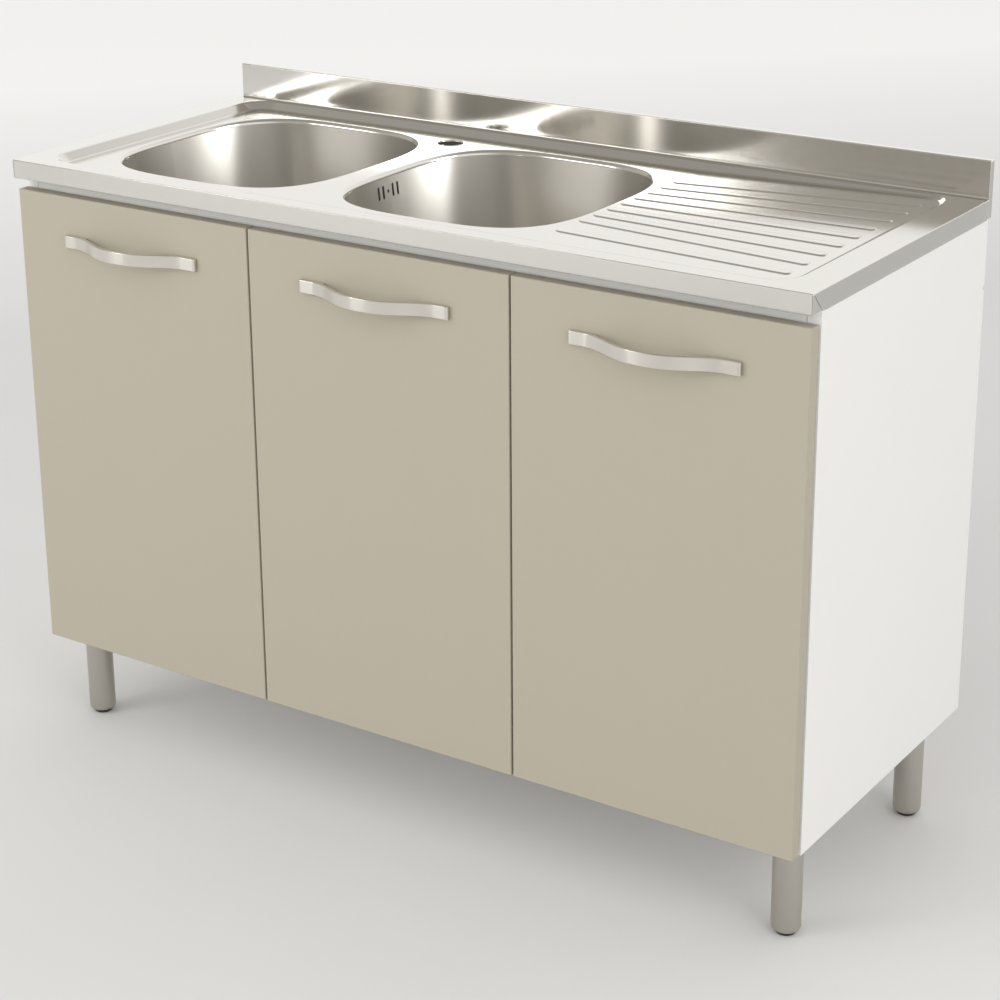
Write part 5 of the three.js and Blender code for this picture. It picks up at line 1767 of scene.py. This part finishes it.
class SINKUNIT_OT_handles(bpy.types.Operator):
    """Bend the strap handles and screw them on from inside the doors"""

    bl_idname = "sinkunit.handles"
    bl_label = "Handles"

    def execute(self, context):
        f = context.scene.sink_unit_fittings
        for name in DOORS:
            strap_handle(name, f)
            spots = []
            for end in ("a", "b"):
                cad = f"handle_screw_{name}_{end}"
                screw = copy_of_node(cad, f"handle_bolt_{name}_{end}")
                hand_over(screw, DOOR_BODIES[name], "plated_steel", cad, rounding=0.0003)
                low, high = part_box(cad)
                x, z = (low.x + high.x) / 2, (low.z + high.z) / 2
                spots.append((Vector((x, high.y - 0.0004, z)), (0, 1, 0)))
            screws_on(f"bolt_heads_{name}", spots, DOOR_BODIES[name], HANDLE_SCREW_HEAD)
        return {"FINISHED"}


def cup_screw_spots(low, high):
    """Places for the two screws of a hinge cup, from its box, with the way that they face."""
    x, z = (low.x + high.x) / 2, (low.z + high.z) / 2
    return [(Vector((x, high.y, z + shift)), (0, 1, 0)) for shift in CUP_SCREW_SHIFTS]


def arm_screw_spots(cad, way, z):
    """Places for a hinge arm's screws: two on its base and two on its crown."""
    low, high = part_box(cad)
    back = high.x if way < 0 else low.x
    base = back + way * ARM_BASE_RISE
    crown = back + way * ARM_CROWN_RISE
    y = DECK_FRONT + ARM_SCREWS_BACK
    spots = [(Vector((base, y, z + shift)), (way, 0, 0)) for shift in ARM_BASE_SHIFTS]
    return spots + [(Vector((crown, y + shift, z)), (way, 0, 0)) for shift in ARM_CROWN_SHIFTS]


class SINKUNIT_OT_hinges(bpy.types.Operator):
    """Fit the concealed hinges: cups in the doors, arms on the boards, and their screws"""

    bl_idname = "sinkunit.hinges"
    bl_label = "Hinges"

    def execute(self, context):
        arm_spots = []
        for name in DOORS:
            cup_spots = []
            for height in ("upper", "lower"):
                tag = f"{name}_{height}"
                for part, body in (("cup", DOOR_BODIES[name]), ("arm", "carcass")):
                    cad = f"hinge_{part}_{tag}"
                    obj = copy_of_node(cad, f"{part}_{tag}")
                    hand_over(obj, body, "plated_steel", cad, rounding=0.0004, sharp=35)
                low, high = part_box(f"hinge_cup_{tag}")
                cup_spots += cup_screw_spots(low, high)
                z = (low.z + high.z) / 2
                arm_spots += arm_screw_spots(f"hinge_arm_{tag}", -HINGE_SIDE[name], z)
            screws_on(f"cup_screws_{name}", cup_spots, DOOR_BODIES[name], CUP_SCREW_HEAD)
        screws_on("arm_screws", arm_spots, "carcass", ARM_SCREW_HEAD)
        return {"FINISHED"}


class SINKUNIT_OT_shelf_pins(bpy.types.Operator):
    """Turn the four shelf pins"""

    bl_idname = "sinkunit.shelf_pins"
    bl_label = "Shelf pins"

    def execute(self, context):
        for side in ("left", "right"):
            for row in ("front", "back"):
                cad = f"shelf_pin_{side}_{row}"
                low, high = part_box(cad)
                radius = (high.z - low.z) / 2
                corners = [(0, low.x), (radius, low.x), (radius, high.x), (0, high.x)]
                pin = lathe(f"pin_{side}_{row}", rounded_path(corners, 0.0006, 3), (0, 0), 32)
                middle = Vector((0, (low.y + high.y) / 2, (low.z + high.z) / 2))
                pin.data.transform(Matrix.Translation(middle) @ Matrix.Rotation(math.pi / 2, 4, "Y"))
                hand_over(pin, "carcass", "plated_steel", cad)
        return {"FINISHED"}


# ---------------------------------------------------------------- legs


# From a leg's axis to its plate's screws, along each side, and their depth below the plate's top.
PLATE_SCREW_REACH = 0.0215
PLATE_SCREW_DEPTH = 0.003
# Crests and roots of a foot's thread together.
THREAD_STEPS = 26


def leg_section(low, high):
    """A leg's tube as (radius, height) pairs, with a rounded shoulder and the foot's hole."""
    r, wall, shoulder, hole = (high.x - low.x) / 2, 0.0015, 0.007, 0.0053
    corners = [(r - wall, high.z), (r - wall, low.z + shoulder + wall)]
    for i in range(1, 7):
        turn = math.radians(90 * i / 6)
        across = r - wall - shoulder * (1 - math.cos(turn))
        corners.append((across, low.z + wall + shoulder * (1 - math.sin(turn))))
    corners += [(hole, low.z + wall), (hole, low.z)]
    for i in range(7):
        turn = math.radians(90 * (1 - i / 6))
        across = r - shoulder * (1 - math.cos(turn))
        corners.append((across, low.z + shoulder * (1 - math.sin(turn))))
    return corners + [(r, high.z - 0.0006), (r - 0.0004, high.z)]


def foot_section(low, high):
    """A foot as (radius, height) pairs: a pad and a threaded stem."""
    radius, pad, stem = (high.x - low.x) / 2, 0.004, 0.005
    corners = [
        (0, low.z),
        (radius - 0.0012, low.z),
        (radius, low.z + 0.0012),
        (radius, low.z + pad - 0.0008),
        (radius - 0.001, low.z + pad),
        (stem, low.z + pad),
    ]
    rise = high.z - low.z - pad - 0.001
    for i in range(THREAD_STEPS):
        z = low.z + pad + 0.0006 + rise * (i + 0.5) / THREAD_STEPS
        corners.append((stem if i % 2 else stem - 0.0006, z))
    return corners + [(stem - 0.0008, high.z), (0, high.z)]


def plate_screw_spots(name, centre):
    """Places for a leg plate's four screws, which face down."""
    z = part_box(f"leg_plate_{name}")[1].z - PLATE_SCREW_DEPTH
    shifts = (-PLATE_SCREW_REACH, PLATE_SCREW_REACH)
    return [(Vector((centre[0] + dx, centre[1] + dy, z)), (0, 0, -1)) for dx in shifts for dy in shifts]


class SINKUNIT_OT_legs(bpy.types.Operator):
    """Turn the legs, their plates and the screw feet"""

    bl_idname = "sinkunit.legs"
    bl_label = "Legs and feet"

    def execute(self, context):
        spots = []
        for name in LEGS:
            low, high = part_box(f"leg_{name}")
            centre = ((low.x + high.x) / 2, (low.y + high.y) / 2)
            leg = lathe(f"leg_tube_{name}", leg_section(low, high), centre, 72)
            hand_over(leg, "carcass", "leg_metal", f"leg_{name}")
            plate = copy_of_node(f"leg_plate_{name}", f"plate_{name}")
            hand_over(plate, "carcass", "dark_plastic", f"leg_plate_{name}", rounding=0.0006)
            spots += plate_screw_spots(name, centre)
            foot = lathe(f"foot_pad_{name}", foot_section(*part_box(f"foot_{name}")), centre, 48)
            hand_over(foot, f"{name}_foot", "dark_plastic", f"foot_{name}")
        screws_on("leg_plate_screws", spots, "carcass", context.scene.sink_unit_fittings.screw_head)
        return {"FINISHED"}


# ---------------------------------------------------------------- stage


FLOOR_REACH = 14.0
FAR_FLOOR = (0.98, 0.975, 0.965, 1)
# The room's light on dull faces, and the tones that polished faces mirror.
ROOM_DULL = (0.88, 0.875, 0.865, 1)
ROOM_FRONT = (0.6, 0.575, 0.53, 1)
ROOM_REAR = (1.16, 1.15, 1.13, 1)
ROOM_ABOVE = (0.42, 0.40, 0.375, 1)
# Name, place, target, size, watts, mirrored in polished faces, lighting dull faces.
LAMPS = (
    ("key", (-2.6, -3.4, 3.4), (0, 0, 0.5), (3.4, 2.6), 32, False, True),
    ("low", (-1.6, -4.6, 1.0), (0, 0, 0.6), (2.6, 1.2), 23, False, True),
    ("window", (-2.9, -3.9, 2.3), (-0.4, 0.2, 0.8), (1.5, 1.1), 24, True, True),
    ("side_window", (-3.6, -3.9, 2.0), (-0.6, 0.2, 0.8), (0.45, 0.7), 6, True, True),
    ("right_window", (2.6, 1.5, 1.9), (-0.2, 0, 0.75), (1.3, 1.0), 95, True, False),
    ("fill", (3.8, -1.8, 2.4), (0.1, 0, 0.5), (2.6, 2.4), 42, False, True),
)
CAMERA_PLACE = (1.6911, -2.4936, 1.5804)
CAMERA_YAW, CAMERA_PITCH, CAMERA_ROLL = 0.587, 0.333, -0.007


def soft_lamp(name, spot, target, size, power, mirrored, lighting):
    """A soft oblong lamp, which may be mirrored in polished faces, may light dull ones, or both."""
    light = bpy.data.lights.new(name, "AREA")
    light.shape = "RECTANGLE"
    light.size, light.size_y = size
    light.energy = power
    obj = new_object(name, light)
    obj.visible_camera = False
    obj.visible_glossy = mirrored
    obj.visible_diffuse = lighting
    obj.location = spot
    obj.rotation_euler = (Vector(target) - obj.location).to_track_quat("-Z", "Y").to_euler()


def lay_floor(tint):
    """A plain pale floor, paler far behind the unit."""
    reach = FLOOR_REACH
    corners = [(-reach, -reach, 0), (reach, -reach, 0), (reach, reach, 0), (-reach, reach, 0)]
    floor = mesh_object("floor", corners, [(0, 1, 2, 3)])
    ground, w, shader, place_at = new_material("Plain floor")
    low, high = ((*(v * share for v in tint), 1) for share in (0.86, 0.875))
    near = w.mix(w.spread(w.noise(place_at, 3.0, 2.0, 0.5), 0.3, 0.7), low, high)
    parts = w.add("ShaderNodeSeparateXYZ", {"Vector": place_at}).outputs
    behind = w.math("SUBTRACT", parts["Y"], parts["X"])
    w.set(shader.inputs["Base Color"], w.mix(w.spread(behind, 3.0, 7.0), near, FAR_FLOOR))
    shader.inputs["Roughness"].default_value = 0.85
    shader.inputs["Specular IOR Level"].default_value = 0.2
    floor.data.materials.append(ground)


def light_room(scene):
    """A pale room, mirrored darker in front and above, and paler behind and at the right."""
    world = bpy.data.worlds.new("Studio")
    scene.world = world
    world.use_nodes = True
    world.node_tree.nodes.clear()
    w = Wires(world.node_tree)
    way = w.add("ShaderNodeTexCoord").outputs["Generated"]
    parts = w.add("ShaderNodeSeparateXYZ", {"Vector": way}).outputs
    rear = w.spread(parts["Y"], 0.4, 0.68, kind="SMOOTHSTEP")
    right = w.spread(parts["X"], 0.2, 0.9, kind="SMOOTHSTEP")
    above = w.spread(parts["Z"], 0.55, 0.95, kind="SMOOTHSTEP")
    room = w.mix(w.math("MAXIMUM", rear, right), ROOM_FRONT, ROOM_REAR)
    room = w.mix(above, room, ROOM_ABOVE)
    mirrored = w.add("ShaderNodeLightPath").outputs["Is Glossy Ray"]
    tone = w.mix(mirrored, ROOM_DULL, room)
    shone = w.add("ShaderNodeBackground", {"Color": tone, "Strength": 1.0})
    out = w.add("ShaderNodeOutputWorld")
    w.set(out.inputs["Surface"], shone.outputs[0])


def set_camera(scene):
    """The photograph's viewing angle."""
    data = bpy.data.cameras.new("Camera")
    camera = new_object("Camera", data)
    data.lens = 85.7
    data.sensor_width = 36
    data.shift_y = -0.1
    yaw, pitch, roll = CAMERA_YAW, CAMERA_PITCH, CAMERA_ROLL
    forward = Vector((-math.sin(yaw) * math.cos(pitch), math.cos(yaw) * math.cos(pitch), -math.sin(pitch)))
    right = Vector((math.cos(yaw), math.sin(yaw), 0))
    up = right.cross(forward)
    tilted = right * math.cos(roll) + up * math.sin(roll)
    upright = up * math.cos(roll) - right * math.sin(roll)
    turn = Matrix((tilted, upright, -forward)).transposed()
    camera.matrix_world = Matrix.Translation(CAMERA_PLACE) @ turn.to_4x4()
    scene.camera = camera


class SINKUNIT_OT_stage(bpy.types.Operator):
    """Lay the plain floor, hang the soft lights and set the camera"""

    bl_idname = "sinkunit.stage"
    bl_label = "Stage"

    def execute(self, context):
        scene = context.scene
        lay_floor(scene.sink_unit_colours.floor)
        light_room(scene)
        for lamp in LAMPS:
            soft_lamp(*lamp)
        set_camera(scene)
        scene.view_settings.view_transform = "Standard"
        return {"FINISHED"}


# ---------------------------------------------------------------- panel and registration


class SINKUNIT_PT_panel(bpy.types.Panel):
    """Lists the steps that build the sink unit"""

    bl_label = "Sink Unit"
    bl_idname = "SINKUNIT_PT_panel"
    bl_space_type = "VIEW_3D"
    bl_region_type = "UI"
    bl_category = "Sink Unit"

    def draw(self, context):
        column = self.layout.column()
        for step in STEPS:
            column.operator(step.bl_idname)
        for group in GROUPS:
            settings = getattr(context.scene, group)
            for name in settings.__annotations__:
                column.prop(settings, name)


GROUPS = {
    "sink_unit_top": SinkTopSizes,
    "sink_unit_ribs": RibSizes,
    "sink_unit_bowls": BowlSizes,
    "sink_unit_fittings": FittingSizes,
    "sink_unit_colours": FinishColours,
}
STEPS = (
    SINKUNIT_OT_top,
    SINKUNIT_OT_bowls,
    SINKUNIT_OT_wastes,
    SINKUNIT_OT_carcass,
    SINKUNIT_OT_doors,
    SINKUNIT_OT_handles,
    SINKUNIT_OT_hinges,
    SINKUNIT_OT_shelf_pins,
    SINKUNIT_OT_legs,
    SINKUNIT_OT_stage,
)


def register():
    """Makes the sizes, the steps and the panel known to Blender."""
    for kind in (*GROUPS.values(), *STEPS, SINKUNIT_PT_panel):
        bpy.utils.register_class(kind)
    for name, group in GROUPS.items():
        setattr(bpy.types.Scene, name, PointerProperty(type=group))


def unregister():
    """Takes the panel, the steps and the sizes out again."""
    for name in GROUPS:
        delattr(bpy.types.Scene, name)
    for kind in (SINKUNIT_PT_panel, *reversed(STEPS), *reversed(GROUPS.values())):
        bpy.utils.unregister_class(kind)


def main():
    """Builds the unit and its stage step by step."""
    register()
    for step in STEPS:
        family, name = step.bl_idname.split(".")
        getattr(getattr(bpy.ops, family), name)()
    bpy.context.view_layer.update()


if __name__ == "__main__":
    main()
